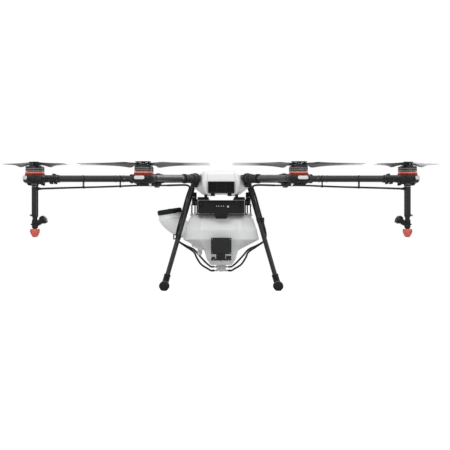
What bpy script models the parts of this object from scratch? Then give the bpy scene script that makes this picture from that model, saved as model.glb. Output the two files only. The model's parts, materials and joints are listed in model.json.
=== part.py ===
"""Agricultural spray drone: a folding eight-rotor crop sprayer, one object for each sub-part, in metres, +Z up.

The origin is on the ground under the centre of the airframe, and the nose faces -Y. Arms are numbered
clockwise from the right-hand nose arm. Arms 3, 4, 7 and 8 point sideways and carry the spray nozzles.
"""

import math

import bmesh
import bpy
from mathutils import Matrix, Vector

MM = 0.001

# Driving dimensions
ARM_COUNT = 8
WHEELBASE = 1520 * MM
MOTOR_RADIUS = WHEELBASE / 2
ARM_HEIGHT = 422 * MM
FOLD_RADIUS = 262 * MM
ROTOR_DIAMETER = 533 * MM
GAP = 0.3 * MM

# Arms and their folding joints
TUBE_R = 12 * MM
ROOT_TUBE_R = TUBE_R + 3 * MM
ROOT_TUBE_START = 70 * MM
TUBE_WALL = 1.5 * MM
TUBE_SIDES = 10
ROOT_SIDES = 12
POD_SIDES = 12
COLLAR_R = ROOT_TUBE_R + 5.5 * MM
COLLAR_LENGTH = 18 * MM
FERRULE_R = TUBE_R + 6 * MM
FERRULE_LENGTH = 34 * MM
SLEEVE_R = TUBE_R + 3 * MM
SLEEVE_END_R = TUBE_R + 5 * MM
SLEEVE_LENGTH = 73 * MM
KNUCKLE_R = 6 * MM
KNUCKLE_CLEARANCE = 1 * MM
PIN_R = 2.3 * MM
LUG_HALF_WIDTH = 8 * MM
EAR_WIDTH = 5 * MM
FOLD_DROP = COLLAR_R + KNUCKLE_R + KNUCKLE_CLEARANCE
FOLD_HEIGHT = ARM_HEIGHT - FOLD_DROP

# Motor pod, motor and propeller: heights are measured from the arm's axis
POD_R = 38 * MM
POD_HALF_WIDTH = 45 * MM
POD_BOTTOM = -17 * MM
POD_TOP = 10.5 * MM
CLAMP_LENGTH = 54 * MM
CLAMP_HALF_WIDTH = TUBE_R + 4 * MM
CLAMP_HALF_HEIGHT = TUBE_R + 1.3 * MM
MOTOR_R = 32.8 * MM
MOTOR_BASE_R = 35 * MM
MOTOR_BASE_TOP = 26.3 * MM
BELL_GAP = 0.6 * MM
BELL_TOP = 47.5 * MM
BELL_WALL = 3 * MM
STATOR_R = 27 * MM
STATOR_HOLE_R = 9 * MM
SHAFT_R = 4 * MM
SHAFT_CLEARANCE = 0.6 * MM
HUB_LENGTH = 60 * MM
HUB_WIDTH = 24 * MM
HUB_PLATE = 4.5 * MM
PLATE_SEAT = 1 * MM
BLADE_ROOT_THICKNESS = 6 * MM
BLADE_ROOT_PLAY = 0.6 * MM
BLADE_PIVOT_RADIUS = 22 * MM
BLADE_BOLT_R = 2.3 * MM
BLADE_HOLE_R = 3 * MM
PROPELLER_PITCH = 178 * MM
INNER_BLADE_TURN = 91.5
OUTER_BLADE_TURN = 86.5

# Body shell, frame plates and flight controller
SHELL_WALL = 2.5 * MM
SHELL_SECTIONS = [
    # height, half width, front face half width, half length
    (362 * MM, 69 * MM, 55 * MM, 227 * MM),
    (397 * MM, 114 * MM, 70 * MM, 236 * MM),
    (414 * MM, 113 * MM, 70 * MM, 234 * MM),
    (440 * MM, 84 * MM, 64 * MM, 219 * MM),
    (449 * MM, 66 * MM, 58 * MM, 204 * MM),
]
SHELL_CORNER = 50 * MM
PLATE = 3 * MM
PLATE_SEAT = 1 * MM
LOWER_PLATE = [(105 * MM, 95 * MM), (62 * MM, 148 * MM)]
UPPER_PLATE = [(74 * MM, 60 * MM), (48 * MM, 112 * MM)]
POST_X = 58 * MM
POST_Y = 95 * MM
POST_R = 5 * MM
CONTROLLER = Vector((52, 70, 31)) * MM
CONTROLLER_GAP = 2 * MM
POWER_BOARD = Vector((34, 46, 2)) * MM
GRILLE_HALF_WIDTH = 49 * MM
GRILLE_LOW = 367 * MM
GRILLE_HIGH = 411 * MM
GRILLE_FRONT = 242 * MM
GRILLE_DEPTH = 12 * MM

# Battery, its rack and its power button
BATTERY_HALF = 87.5 * MM
BATTERY_LOW = 289.5 * MM
BATTERY_HIGH = 341 * MM
BATTERY_FRONT = -168 * MM
BATTERY_LENGTH = 150 * MM
HANDLE_LOW = 271 * MM
HANDLE_THICKNESS = 8 * MM
RACK_PLAY = 0.8 * MM
RACK_WALL = 3 * MM
RACK_FRONT = -150 * MM
RACK_BACK = 130 * MM
RACK_LIP = 44 * MM
BUTTON_X = 25.6 * MM
BUTTON_Z = 317 * MM
BUTTON_R = 4 * MM
BUTTON_PROUD = 1.4 * MM
BUTTON_DEPTH = 5 * MM

# Spray tank, filler and lid
TANK_WALL = 3 * MM
TANK_SECTIONS = [
    # height, half width, front face half width, half length
    (97 * MM, 40 * MM, 30 * MM, 58 * MM),
    (120 * MM, 55 * MM, 44 * MM, 84 * MM),
    (152 * MM, 64 * MM, 56 * MM, 100 * MM),
    (193 * MM, 143 * MM, 82 * MM, 136 * MM),
    (230 * MM, 134 * MM, 76 * MM, 146 * MM),
    (272 * MM, 120 * MM, 70 * MM, 132 * MM),
    (282 * MM, 111 * MM, 64 * MM, 122 * MM),
]
TANK_CORNER = 46 * MM
MOUTH = Vector((-193, 0, 289)) * MM
MOUTH_TILT = 8.6
MOUTH_R = 42 * MM
MOUTH_BORE_R = 38 * MM
FUNNEL_RINGS = [
    # centre, tilt away from upright in degrees, radius
    (MOUTH, MOUTH_TILT, MOUTH_R),
    (Vector((-189.5, 0, 265.3)) * MM, MOUTH_TILT, MOUTH_R),
    (Vector((-155, 0, 238)) * MM, 45, 36 * MM),
    (Vector((-112, 0, 222)) * MM, 75, 30 * MM),
]
LID_R = 46.5 * MM
LID_THICKNESS = 19 * MM
LID_HINGE_OFFSET = 51 * MM
LID_HINGE_RISE = 3 * MM
LID_KNUCKLE_R = 3.8 * MM
LID_KNUCKLE_HALF = 7 * MM
LID_KNUCKLE_END = 14 * MM

# Landing gear
LEG_R = 8.5 * MM
LEG_TOP = Vector((104.3, 88, 398)) * MM
SKID_R = 9 * MM
SKID_HEIGHT = 17.5 * MM
LEG_FOOT = Vector((214.8, 150, SKID_HEIGHT / MM)) * MM
SKID_HALF = 172 * MM
TEE_R = 12 * MM
TEE_LENGTH = 44 * MM
TEE_HALF = 16 * MM
BUMPER_R = 19 * MM
BUMPER_LENGTH = 43 * MM
CLIP_SIZE = Vector((13, 6, 20)) * MM
CLIP_OFFSET = 1.5 * MM

# Pumps, outlet manifold, radar and hoses
PUMP_R = 9.5 * MM
PUMP_X = BATTERY_HALF + RACK_PLAY + RACK_WALL + PUMP_R + 0.7 * MM
PUMP_Y = -70 * MM
PUMP_LOW = 324 * MM
PUMP_HIGH = 371 * MM
MANIFOLD_HALF = 17 * MM
MANIFOLD_LOW = 72 * MM
BARB_R = 2.2 * MM
BARB_END = 26 * MM
BARBS = {1: 76 * MM, -1: 90 * MM}
BARB_Y = 9 * MM
RADAR_HALF_WIDTH = 38.5 * MM
RADAR_LOW = 138 * MM
RADAR_HIGH = 200 * MM
RADAR_FRONT = -176 * MM
RADAR_DEPTH = 16 * MM
RADAR_BRACKET_BACK = -96 * MM
HOSE_R = 3 * MM
HOSE_SIDES = 6
HOSE_HEIGHT = FOLD_HEIGHT + 2.5 * MM

# Nozzle hanger under each sideways arm: heights from the ground
ROD_R = 9.3 * MM
ROD_LOW = 276 * MM
ROD_ELBOW = 385 * MM
NOZZLE_BODY_R = 8 * MM
NOZZLE_BODY_LOW = 236 * MM
VALVE_RISE = 37
VALVE_R = 16.5 * MM
SPRAY_CAP_TOP = 233 * MM
SPRAY_CAP_LOW = 202 * MM
SPRAY_CAP_R = 15 * MM
SPRAY_TIP_R = 6 * MM

MATERIALS = {
    "carbon": ((0.030, 0.030, 0.032), 0.38, 0.0),
    "black_plastic": ((0.022, 0.022, 0.024), 0.50, 0.0),
    "dark_metal": ((0.075, 0.075, 0.080), 0.34, 0.8),
    "orange_metal": ((0.62, 0.095, 0.035), 0.40, 0.3),
    "white_shell": ((0.80, 0.80, 0.80), 0.35, 0.0),
    "tank_plastic": ((0.72, 0.73, 0.73), 0.45, 0.0),
    "grey_plastic": ((0.55, 0.56, 0.56), 0.45, 0.0),
    "rubber": ((0.018, 0.018, 0.019), 0.75, 0.0),
    "propeller": ((0.050, 0.050, 0.053), 0.42, 0.0),
}


def clear_scene():
    for obj in list(bpy.data.objects):
        bpy.data.objects.remove(obj)


def make_material(name):
    colour, roughness, metallic = MATERIALS[name]
    material = bpy.data.materials.get(name) or bpy.data.materials.new(name)
    material.use_nodes = True
    shader = material.node_tree.nodes["Principled BSDF"]
    shader.inputs["Base Color"].default_value = (*colour, 1)
    shader.inputs["Roughness"].default_value = roughness
    shader.inputs["Metallic"].default_value = metallic
    return material


# Solids are added to a bmesh, one closed body at a time


def add_rings(bm, rings, closed_loop=False):
    """Joins rings of points into one body: with end faces, or as a closed loop of rings."""
    rows = []
    for ring in rings:
        if len(ring) == 1:
            rows.append([bm.verts.new(ring[0])] * max(len(r) for r in rings))
        else:
            rows.append([bm.verts.new(p) for p in ring])
    pairs = list(zip(rows, rows[1:]))
    if closed_loop:
        pairs.append((rows[-1], rows[0]))
    faces = []
    for low, high in pairs:
        for k in range(len(low)):
            n = (k + 1) % len(low)
            corners = list(dict.fromkeys([low[k], low[n], high[n], high[k]]))
            faces.append(bm.faces.new(corners))
    if not closed_loop:
        for row in (rows[0], rows[-1]):
            if row[0] is not row[1]:
                faces.append(bm.faces.new(row))
    bmesh.ops.recalc_face_normals(bm, faces=faces)


def add_turned(bm, profile, sides=TUBE_SIDES, frame=Matrix()):
    """Turns (radius, height) points about the frame's Z axis. A profile that leaves the axis is a closed loop."""
    rings = []
    for radius, height in profile:
        if radius == 0:
            rings.append([frame @ Vector((0, 0, height))])
            continue
        angles = [2 * math.pi * (k + 0.5) / sides for k in range(sides)]
        rings.append([frame @ Vector((radius * math.cos(a), radius * math.sin(a), height)) for a in angles])
    add_rings(bm, rings, closed_loop=profile[0][0] > 0)


def add_cylinder(bm, radius, low, high, sides=TUBE_SIDES, frame=Matrix()):
    angles = [2 * math.pi * (k + 0.5) / sides for k in range(sides)]
    rings = [[frame @ Vector((radius * math.cos(a), radius * math.sin(a), z)) for a in angles] for z in (low, high)]
    add_rings(bm, rings)


def add_tube(bm, outer, inner, low, high, sides=TUBE_SIDES, frame=Matrix()):
    add_turned(bm, [(outer, low), (outer, high), (inner, high), (inner, low)], sides, frame)


def add_prism(bm, outline, low, high, frame=Matrix()):
    add_rings(bm, [[frame @ Vector((x, y, z)) for x, y in outline] for z in (low, high)])


def add_box(bm, low, high, frame=Matrix()):
    outline = [(low[0], low[1]), (high[0], low[1]), (high[0], high[1]), (low[0], high[1])]
    add_prism(bm, outline, low[2], high[2], frame)


def add_sweep(bm, points, radius=HOSE_R, sides=HOSE_SIDES):
    """A round hose along a line of points, its section carried along without twist."""
    rings = []
    side = None
    for k, point in enumerate(points):
        ahead = points[min(k + 1, len(points) - 1)] - points[max(k - 1, 0)]
        ahead.normalize()
        if side is None:
            side = ahead.orthogonal().normalized()
        side = (side - ahead * side.dot(ahead)).normalized()
        up = ahead.cross(side)
        angles = [2 * math.pi * n / sides for n in range(sides)]
        rings.append([point + radius * (math.cos(a) * side + math.sin(a) * up) for a in angles])
    add_rings(bm, rings)


def smooth_route(points, steps=3):
    """Points on a smooth curve through the route's own points."""
    route = [Vector(p) * MM for p in points]
    ends = [2 * route[0] - route[1], *route, 2 * route[-1] - route[-2]]
    curve = []
    for a, b, c, d in zip(ends, ends[1:], ends[2:], ends[3:]):
        for k in range(steps):
            t = k / steps
            curve.append(0.5 * (2 * b + (c - a) * t + (2 * a - 5 * b + 4 * c - d) * t**2 + (3 * b - a - 3 * c + d) * t**3))
    return [*curve, route[-1]]


def along(axis, origin=Vector((0, 0, 0))):
    """A frame whose Z axis runs along the given direction from the origin."""
    turn = Vector(axis).to_track_quat("Z", "Y").to_matrix().to_4x4()
    return Matrix.Translation(origin) @ turn


def mesh_of(name, build):
    """A mesh made by calling build on an empty bmesh."""
    bm = bmesh.new()
    build(bm)
    mesh = bpy.data.meshes.new(name)
    bm.to_mesh(mesh)
    bm.free()
    return mesh


def combine(name, base, unions=(), cuts=(), solver="EXACT"):
    """The mesh of base with the others joined to it and then the cutters taken away, by Boolean modifiers."""
    helpers = [bpy.data.objects.new(name, base)]
    for operation, meshes in (("UNION", unions), ("DIFFERENCE", cuts)):
        for mesh in meshes:
            helper = bpy.data.objects.new(name, mesh)
            modifier = helpers[0].modifiers.new(operation, "BOOLEAN")
            modifier.operation = operation
            modifier.solver = solver
            modifier.object = helper
            helpers.append(helper)
    for helper in helpers:
        bpy.context.scene.collection.objects.link(helper)
    bpy.context.view_layer.update()
    graph = bpy.context.evaluated_depsgraph_get()
    result = bpy.data.meshes.new_from_object(helpers[0].evaluated_get(graph))
    for helper in helpers:
        bpy.data.objects.remove(helper)
    result.name = name
    return result


def fuse(name, builders, cutters=(), solver="MANIFOLD"):
    """One body from functions that each add a closed solid, less the solids of the cutter functions."""
    solids = [mesh_of(name, build) for build in builders]
    return combine(name, solids[0], solids[1:], [mesh_of(name, build) for build in cutters], solver)


def place(name, mesh, material, parent=None, location=(0, 0, 0), turn=0.0):
    """Links a named object with its material, under its parent empty, turned about Z."""
    if not mesh.materials:
        mesh.materials.append(make_material(material))
    mesh.shade_smooth()
    mesh.set_sharp_from_angle(angle=math.radians(35))
    obj = bpy.data.objects.new(name, mesh)
    obj.parent = parent
    obj.location = location
    obj.rotation_euler = (0, 0, turn)
    bpy.context.scene.collection.objects.link(obj)
    return obj


def place_empty(name, location, turn=0.0, parent=None):
    empty = bpy.data.objects.new(name, None)
    empty.location = location
    empty.rotation_euler = (0, 0, turn)
    empty.parent = parent
    bpy.context.scene.collection.objects.link(empty)
    return empty


# Layout of the arms


def arm_angle(number):
    """The arm's direction in plan, from +X: arm 1 is the nose arm on the right, and the count goes clockwise."""
    return math.radians(-67.5 - 45 * (number - 1))


def carries_nozzle(number):
    return number in (3, 4, 7, 8)


def turns_clockwise(number):
    return number % 2 == 1


def hose_side(number):
    """+1 or -1: the side of the arm, seen from above, on which its hose leaves for the nearest leg."""
    return 1 if turns_clockwise(number) else -1


def arm_frame(number):
    """Frame of an arm at its folding pivot: X points outwards and Z up."""
    angle = arm_angle(number)
    pivot = Vector((FOLD_RADIUS * math.cos(angle), FOLD_RADIUS * math.sin(angle), FOLD_HEIGHT))
    return Matrix.Translation(pivot) @ Matrix.Rotation(angle, 4, "Z")


def tube_frame():
    """Frame along an arm's tube, from above its folding pivot, in the arm's own frame."""
    return along((1, 0, 0), Vector((0, 0, FOLD_DROP)))


# Airframe


def plate_outline(corners):
    (x1, y1), (x2, y2) = corners
    return [(x1, -y1), (x1, y1), (x2, y2), (-x2, y2), (-x1, y1), (-x1, -y1), (-x2, -y2), (x2, -y2)]


def ear_span(side):
    low = LUG_HALF_WIDTH + 2 * GAP
    return sorted((side * low, side * (low + EAR_WIDTH)))


def knuckle_builders(low, high, web_start, web_end):
    """A round knuckle on the folding axis and a web up to the arm's tube, between low and high across the arm."""

    def build_round(bm):
        add_cylinder(bm, KNUCKLE_R, low, high, 8, along((0, 1, 0)))

    def build_web(bm):
        add_box(bm, (web_start, low, 0), (web_end, high, FOLD_DROP - TUBE_R - 1 * MM))

    return [build_round, build_web]


def build_pin_hole(bm):
    add_cylinder(bm, (PIN_R + GAP) / math.cos(math.pi / 6), -40 * MM, 40 * MM, 6, along((0, 1, 0)))


def build_pin(bm):
    end = LUG_HALF_WIDTH + EAR_WIDTH + 2 * MM
    add_cylinder(bm, PIN_R, -end, end, 6, along((0, 1, 0)))


def build_root(bm):
    """Root tube with the tapered collar at its outer end, in the arm's frame."""
    start = ROOT_TUBE_START - FOLD_RADIUS
    profile = [
        (ROOT_TUBE_R, start),
        (ROOT_TUBE_R, -COLLAR_LENGTH - 8 * MM),
        (COLLAR_R, -COLLAR_LENGTH / 2),
        (COLLAR_R, -GAP),
        (ROOT_TUBE_R - TUBE_WALL, -GAP),
        (ROOT_TUBE_R - TUBE_WALL, start),
    ]
    add_turned(bm, profile, ROOT_SIDES, tube_frame())


def fold_root_mesh():
    """The fixed half of a folding joint: the root tube, its collar, two ears below and the pin they hold."""
    ears = [build for side in (-1, 1) for build in knuckle_builders(*ear_span(side), -12 * MM, -GAP)]
    solid = fuse("root", [build_root, *ears], [build_root_bore])
    return combine("root", solid, [mesh_of("pin", build_pin)], solver="MANIFOLD")


def build_root_bore(bm):
    add_cylinder(bm, ROOT_TUBE_R - TUBE_WALL, ROOT_TUBE_START - FOLD_RADIUS - 1 * MM, 1 * MM, ROOT_SIDES, tube_frame())


def build_plates(bm, corners, low):
    add_prism(bm, plate_outline(corners), low, low + PLATE)


def lower_plate_height():
    return ARM_HEIGHT - ROOT_TUBE_R + PLATE_SEAT - PLATE


def build_posts(bm):
    for x in (-POST_X, POST_X):
        for y in (-POST_Y, POST_Y):
            frame = Matrix.Translation((x, y, 0))
            add_cylinder(bm, POST_R, rack_top() + GAP, lower_plate_height() + 1 * MM, 8, frame)


def build_centre_block(bm):
    """The block that ties the two plates together between the roots of the tubes."""
    half = ROOT_TUBE_START / 2
    add_cylinder(bm, half, lower_plate_height() + 1 * MM, ARM_HEIGHT + ROOT_TUBE_R + 1 * MM, 8)


def centre_frame_mesh():
    """Root tubes between two plates that clamp them, and the posts down to the rack: one bonded body."""
    root = fold_root_mesh()
    roots = []
    for number in range(1, ARM_COUNT + 1):
        roots.append(root.copy())
        roots[-1].transform(arm_frame(number))
    upper = ARM_HEIGHT + ROOT_TUBE_R - PLATE_SEAT
    lower_plate = mesh_of("plate", lambda bm: build_plates(bm, LOWER_PLATE, lower_plate_height()))
    upper_plate = mesh_of("plate", lambda bm: build_plates(bm, UPPER_PLATE, upper))
    others = [upper_plate, mesh_of("block", build_centre_block), mesh_of("posts", build_posts), *roots]
    return combine("centre_frame", lower_plate, others, solver="MANIFOLD")


def build_controller(bm):
    x, y, height = CONTROLLER
    top = lower_plate_height() - CONTROLLER_GAP
    add_box(bm, (-x, -y, top - height), (x, y, top))


def build_power_board(bm):
    low = ARM_HEIGHT + ROOT_TUBE_R + PLATE
    add_box(bm, (-POWER_BOARD[0], -POWER_BOARD[1], low), (POWER_BOARD[0], POWER_BOARD[1], low + POWER_BOARD[2]))


def arm_length():
    """From the folding pivot to the motor's axis."""
    return MOTOR_RADIUS - FOLD_RADIUS


def tube_end():
    return arm_length() - POD_R - 2 * MM


def build_arm_tube(bm):
    """Ferrule, locking sleeve and carbon tube, turned as one bonded piece."""
    sleeve_end = FERRULE_LENGTH + SLEEVE_LENGTH
    lip = 8 * MM
    bore = TUBE_R - TUBE_WALL
    profile = [
        (bore, GAP),
        (FERRULE_R, GAP),
        (FERRULE_R, FERRULE_LENGTH),
        (SLEEVE_R, FERRULE_LENGTH),
        (SLEEVE_R, sleeve_end - lip),
        (SLEEVE_END_R, sleeve_end - lip),
        (SLEEVE_END_R, sleeve_end),
        (TUBE_R, sleeve_end),
        (TUBE_R, tube_end()),
        (bore, tube_end()),
    ]
    add_turned(bm, profile, TUBE_SIDES, tube_frame())


def arm_mesh():
    """The folding arm in its own frame: tube and sleeves, with one lug between the two ears of its root."""
    lug = knuckle_builders(-LUG_HALF_WIDTH, LUG_HALF_WIDTH, GAP, 2 * KNUCKLE_R)
    return fuse("arm", [build_arm_tube, *lug], [build_pin_hole])


def build_pod_housing(bm):
    """Oval housing of the motor pod, wider across the arm than along it."""
    profile = [
        (0, POD_BOTTOM),
        (POD_R - 7 * MM, POD_BOTTOM),
        (POD_R, POD_BOTTOM + 7 * MM),
        (POD_R, POD_TOP - 3 * MM),
        (POD_R - 3 * MM, POD_TOP),
        (0, POD_TOP),
    ]
    add_turned(bm, profile, POD_SIDES, Matrix.Diagonal((1, POD_HALF_WIDTH / POD_R, 1, 1)))


def build_motor_base(bm):
    """Orange motor base and stator about the motor's axis, with a blind hole for the shaft."""
    hole = SHAFT_R + SHAFT_CLEARANCE
    stator_top = BELL_TOP - 2 * BELL_WALL
    profile = [
        (0, POD_TOP - 1 * MM),
        (MOTOR_BASE_R, POD_TOP - 1 * MM),
        (MOTOR_BASE_R, POD_TOP + 8 * MM),
        (MOTOR_R, POD_TOP + 9 * MM),
        (MOTOR_R, MOTOR_BASE_TOP),
        (STATOR_R, MOTOR_BASE_TOP),
        (STATOR_R, stator_top),
        (hole, stator_top),
        (hole, POD_TOP + 1 * MM),
        (0, POD_TOP + 1 * MM),
    ]
    add_turned(bm, profile, POD_SIDES)


def pod_mesh():
    """Motor pod with its tube clamp, motor base and stator, about the motor's axis."""
    clamp_start = -POD_R - CLAMP_LENGTH

    def build_clamp(bm):
        low = (clamp_start, -CLAMP_HALF_WIDTH, -CLAMP_HALF_HEIGHT)
        add_box(bm, low, (6 * MM - POD_R, CLAMP_HALF_WIDTH, CLAMP_HALF_HEIGHT - 4 * MM))

    def build_bore(bm):
        start = clamp_start - 10 * MM
        add_cylinder(bm, TUBE_R + GAP, start, -POD_R - 1 * MM, TUBE_SIDES, along((1, 0, 0)))

    return fuse("pod", [build_pod_housing, build_motor_base, build_clamp], [build_bore])


def hub_heights():
    """Heights of the hub's plates: bottom of the lower one, its top, bottom of the upper one, its top."""
    low = BELL_TOP - GAP
    top = low + HUB_PLATE
    high = top + BLADE_ROOT_THICKNESS + 2 * BLADE_ROOT_PLAY
    return low, top, high, high + HUB_PLATE


def hub_outline():
    end = HUB_LENGTH / 2
    half = HUB_WIDTH / 2
    step = 6 * MM
    return [(end, -half + step), (end, half - step), (end - step, half), (step - end, half),
            (-end, half - step), (-end, step - half), (step - end, -half), (end - step, -half)]


def build_bell(bm):
    """Rotating motor bell, open below, with its shaft."""
    bottom = MOTOR_BASE_TOP + BELL_GAP
    inner = BELL_TOP - BELL_WALL
    profile = [
        (0, POD_TOP + 2 * MM),
        (SHAFT_R, POD_TOP + 2 * MM),
        (SHAFT_R, inner),
        (MOTOR_R - BELL_WALL, inner),
        (MOTOR_R - BELL_WALL, bottom),
        (MOTOR_R, bottom),
        (MOTOR_R, BELL_TOP - 2 * MM),
        (MOTOR_R - 2 * MM, BELL_TOP),
        (0, BELL_TOP),
    ]
    add_turned(bm, profile, POD_SIDES)


def bell_mesh():
    """The bell with the hub plates, spacer and bolts that hold the two folding blades."""
    low, top, high, end = hub_heights()
    overlap = 0.5 * MM

    def build_spacer(bm):
        add_cylinder(bm, 8 * MM, top - overlap, high + overlap, 8)

    def bolt_builder(x):
        frame = Matrix.Translation((x, 0, 0))
        return lambda bm: add_cylinder(bm, BLADE_BOLT_R, top - overlap, high + overlap, 6, frame)

    def build_lower(bm):
        add_prism(bm, hub_outline(), low, top)

    def build_upper(bm):
        add_prism(bm, hub_outline(), high, end)

    bolts = [bolt_builder(-BLADE_PIVOT_RADIUS), bolt_builder(BLADE_PIVOT_RADIUS)]
    return fuse("bell", [build_bell, build_lower, build_spacer, *bolts, build_upper])


def blade_sections():
    """(distance from the rotor's axis, leading edge, trailing edge, thickness): edges measured from the blade's line."""
    tip = ROTOR_DIAMETER / 2
    return [
        (BLADE_PIVOT_RADIUS - 7.5 * MM, 3 * MM, -3 * MM, BLADE_ROOT_THICKNESS),
        (BLADE_PIVOT_RADIUS - 3 * MM, 7.4 * MM, -7.4 * MM, BLADE_ROOT_THICKNESS),
        (BLADE_PIVOT_RADIUS + 4 * MM, 7.4 * MM, -7.4 * MM, BLADE_ROOT_THICKNESS),
        (BLADE_PIVOT_RADIUS + 13 * MM, 6.5 * MM, -6.5 * MM, BLADE_ROOT_THICKNESS),
        (52 * MM, 10 * MM, -16 * MM, 4.6 * MM),
        (74 * MM, 15 * MM, -31 * MM, 4.0 * MM),
        (110 * MM, 14 * MM, -24 * MM, 3.4 * MM),
        (160 * MM, 11 * MM, -16.5 * MM, 2.7 * MM),
        (215 * MM, 7.5 * MM, -11 * MM, 2.1 * MM),
        (250 * MM, 4.5 * MM, -8 * MM, 1.7 * MM),
        (tip, -1 * MM, -5 * MM, 1.2 * MM),
    ]


def blade_mesh(spin):
    """One blade about its folding pivot, pointing along +X. spin is 1 for a rotor that turns anticlockwise."""

    def build(bm):
        rings = []
        for radius, lead, trail, thick in blade_sections():
            x = radius - BLADE_PIVOT_RADIUS
            blend = min(max((x - 13 * MM) / (30 * MM), 0), 1)
            twist = blend * math.atan2(PROPELLER_PITCH, 2 * math.pi * radius)
            chord = lead - trail
            shape = [(trail, 0), (trail + 0.3 * chord, -0.5), (lead - 0.15 * chord, -0.5),
                     (lead, 0), (lead - 0.25 * chord, 0.5), (trail + 0.3 * chord, 0.5)]
            if blend == 0:
                shape = [(trail, -0.5), (0, -0.5), (lead, -0.5), (lead, 0.5), (0, 0.5), (trail, 0.5)]
            ring = []
            for y, h in shape:
                z = h * thick
                ring.append(Vector((x, spin * (y * math.cos(twist) - z * math.sin(twist)), y * math.sin(twist) + z * math.cos(twist))))
            rings.append(ring)
        add_rings(bm, rings)

    def build_hole(bm):
        add_cylinder(bm, BLADE_HOLE_R, -10 * MM, 10 * MM, 8)

    return combine("blade", mesh_of("blade", build), cuts=[mesh_of("hole", build_hole)])


def build_nozzle_stack(bm):
    """Hanger rod, nozzle body, neck and spray cap, turned about the motor's axis in the arm's frame."""
    ground = -FOLD_HEIGHT
    rod_low = ground + ROD_LOW
    body_low = ground + NOZZLE_BODY_LOW
    cap_low = ground + SPRAY_CAP_LOW
    cap_top = ground + SPRAY_CAP_TOP
    profile = [
        (0, FOLD_DROP + POD_BOTTOM - GAP),
        (ROD_R, FOLD_DROP + POD_BOTTOM - GAP),
        (ROD_R, rod_low + 5 * MM),
        (ROD_R - 3.3 * MM, rod_low),
        (NOZZLE_BODY_R, rod_low - 1 * MM),
        (NOZZLE_BODY_R, body_low),
        (4.5 * MM, body_low - 1 * MM),
        (4.5 * MM, cap_top + 1 * MM),
        (SPRAY_CAP_R - 2 * MM, cap_top),
        (SPRAY_CAP_R, cap_top - 2 * MM),
        (SPRAY_CAP_R, cap_low + 19 * MM),
        (SPRAY_CAP_R - 3 * MM, cap_low + 14 * MM),
        (SPRAY_TIP_R, cap_low),
        (0, cap_low),
    ]
    add_turned(bm, profile, TUBE_SIDES, Matrix.Translation((arm_length(), 0, 0)))


def build_check_valve(bm):
    """Diaphragm check valve on a stub that rises towards the airframe."""
    rise = math.radians(VALVE_RISE)
    middle = (ROD_LOW + NOZZLE_BODY_LOW) / 2 - 2 * MM - FOLD_HEIGHT
    frame = along((-math.cos(rise), 0, math.sin(rise)), Vector((arm_length(), 0, middle)))
    profile = [(0, 0), (7 * MM, 0), (7 * MM, 23 * MM), (VALVE_R, 23 * MM), (VALVE_R, 35 * MM), (0, 35 * MM)]
    add_turned(bm, profile, TUBE_SIDES, frame)


def nozzle_mesh(side):
    """Spray nozzle, its hanger and the hose along the arm to its clip, in the arm's frame."""
    x = arm_length()
    elbow = ROD_ELBOW - FOLD_HEIGHT
    clip = Vector((24 * MM, side * 15 * MM, HOSE_HEIGHT - FOLD_HEIGHT))

    def build_hose(bm):
        route = [Vector((x - ROD_R + 2 * MM, 0, elbow)), Vector((x - 30 * MM, 0, elbow)),
                 Vector((110 * MM, 0, clip.z - 2 * MM)), Vector((60 * MM, side * 7 * MM, clip.z)), clip]
        add_sweep(bm, route)

    def build_clip(bm):
        low = clip + Vector((6, -4, 2)) * MM
        add_box(bm, low, low + Vector((8, 8, 3)) * MM)

    return fuse("nozzle", [build_nozzle_stack, build_check_valve, build_hose, build_clip])


# Body shell and grille


def eight_corner_ring(section, corner, inset=0.0, rise=0.0):
    height, half_width, face, half_length = section
    x, y, f = half_width - inset, half_length - inset, face - 0.4 * inset
    c = min(corner, 0.5 * half_length)
    points = [(f, -y), (x, c - y), (x, y - c), (f, y), (-f, y), (-x, y - c), (-x, c - y), (-f, -y)]
    return [Vector((px, py, height + rise)) for px, py in points]


def shell_mesh():
    """A moulded cover, open below, with holes for the root tubes and legs and a window for the grille."""

    def build_outer(bm):
        add_rings(bm, [eight_corner_ring(s, SHELL_CORNER) for s in SHELL_SECTIONS])

    def build_inner(bm):
        low = (SHELL_SECTIONS[0][0] - 5 * MM, *SHELL_SECTIONS[0][1:])
        rings = [eight_corner_ring(low, SHELL_CORNER, SHELL_WALL)]
        rings += [eight_corner_ring(s, SHELL_CORNER, SHELL_WALL) for s in SHELL_SECTIONS[:-1]]
        rings.append(eight_corner_ring(SHELL_SECTIONS[-1], SHELL_CORNER, SHELL_WALL, -SHELL_WALL))
        add_rings(bm, rings)

    def build_tube_holes(bm):
        for number in range(1, ARM_COUNT + 1):
            frame = arm_frame(number) @ tube_frame()
            add_cylinder(bm, ROOT_TUBE_R + 1 * MM, ROOT_TUBE_START - FOLD_RADIUS, -20 * MM, ROOT_SIDES, frame)

    def build_leg_holes(bm):
        for sx in (-1, 1):
            for sy in (-1, 1):
                top, foot = leg_ends(sx, sy)
                frame = along(top - foot, foot)
                length = (top - foot).length
                add_cylinder(bm, LEG_R + 1 * MM, length - 70 * MM, length + 5 * MM, TUBE_SIDES, frame)

    def build_window(bm):
        half = GRILLE_HALF_WIDTH + GAP
        add_box(bm, (-half, -GRILLE_FRONT - 20 * MM, GRILLE_LOW - GAP), (half, -GRILLE_FRONT + 30 * MM, GRILLE_HIGH + GAP))

    return fuse("shell", [build_outer], [build_inner, build_tube_holes, build_leg_holes, build_window])


def build_grille(bm):
    """Black air filter housing in the nose window."""
    low = (-GRILLE_HALF_WIDTH, -GRILLE_FRONT, GRILLE_LOW)
    add_box(bm, low, (GRILLE_HALF_WIDTH, -GRILLE_FRONT + GRILLE_DEPTH, GRILLE_HIGH))


# Battery and rack


def rack_top():
    return BATTERY_HIGH + RACK_PLAY + RACK_WALL


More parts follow.
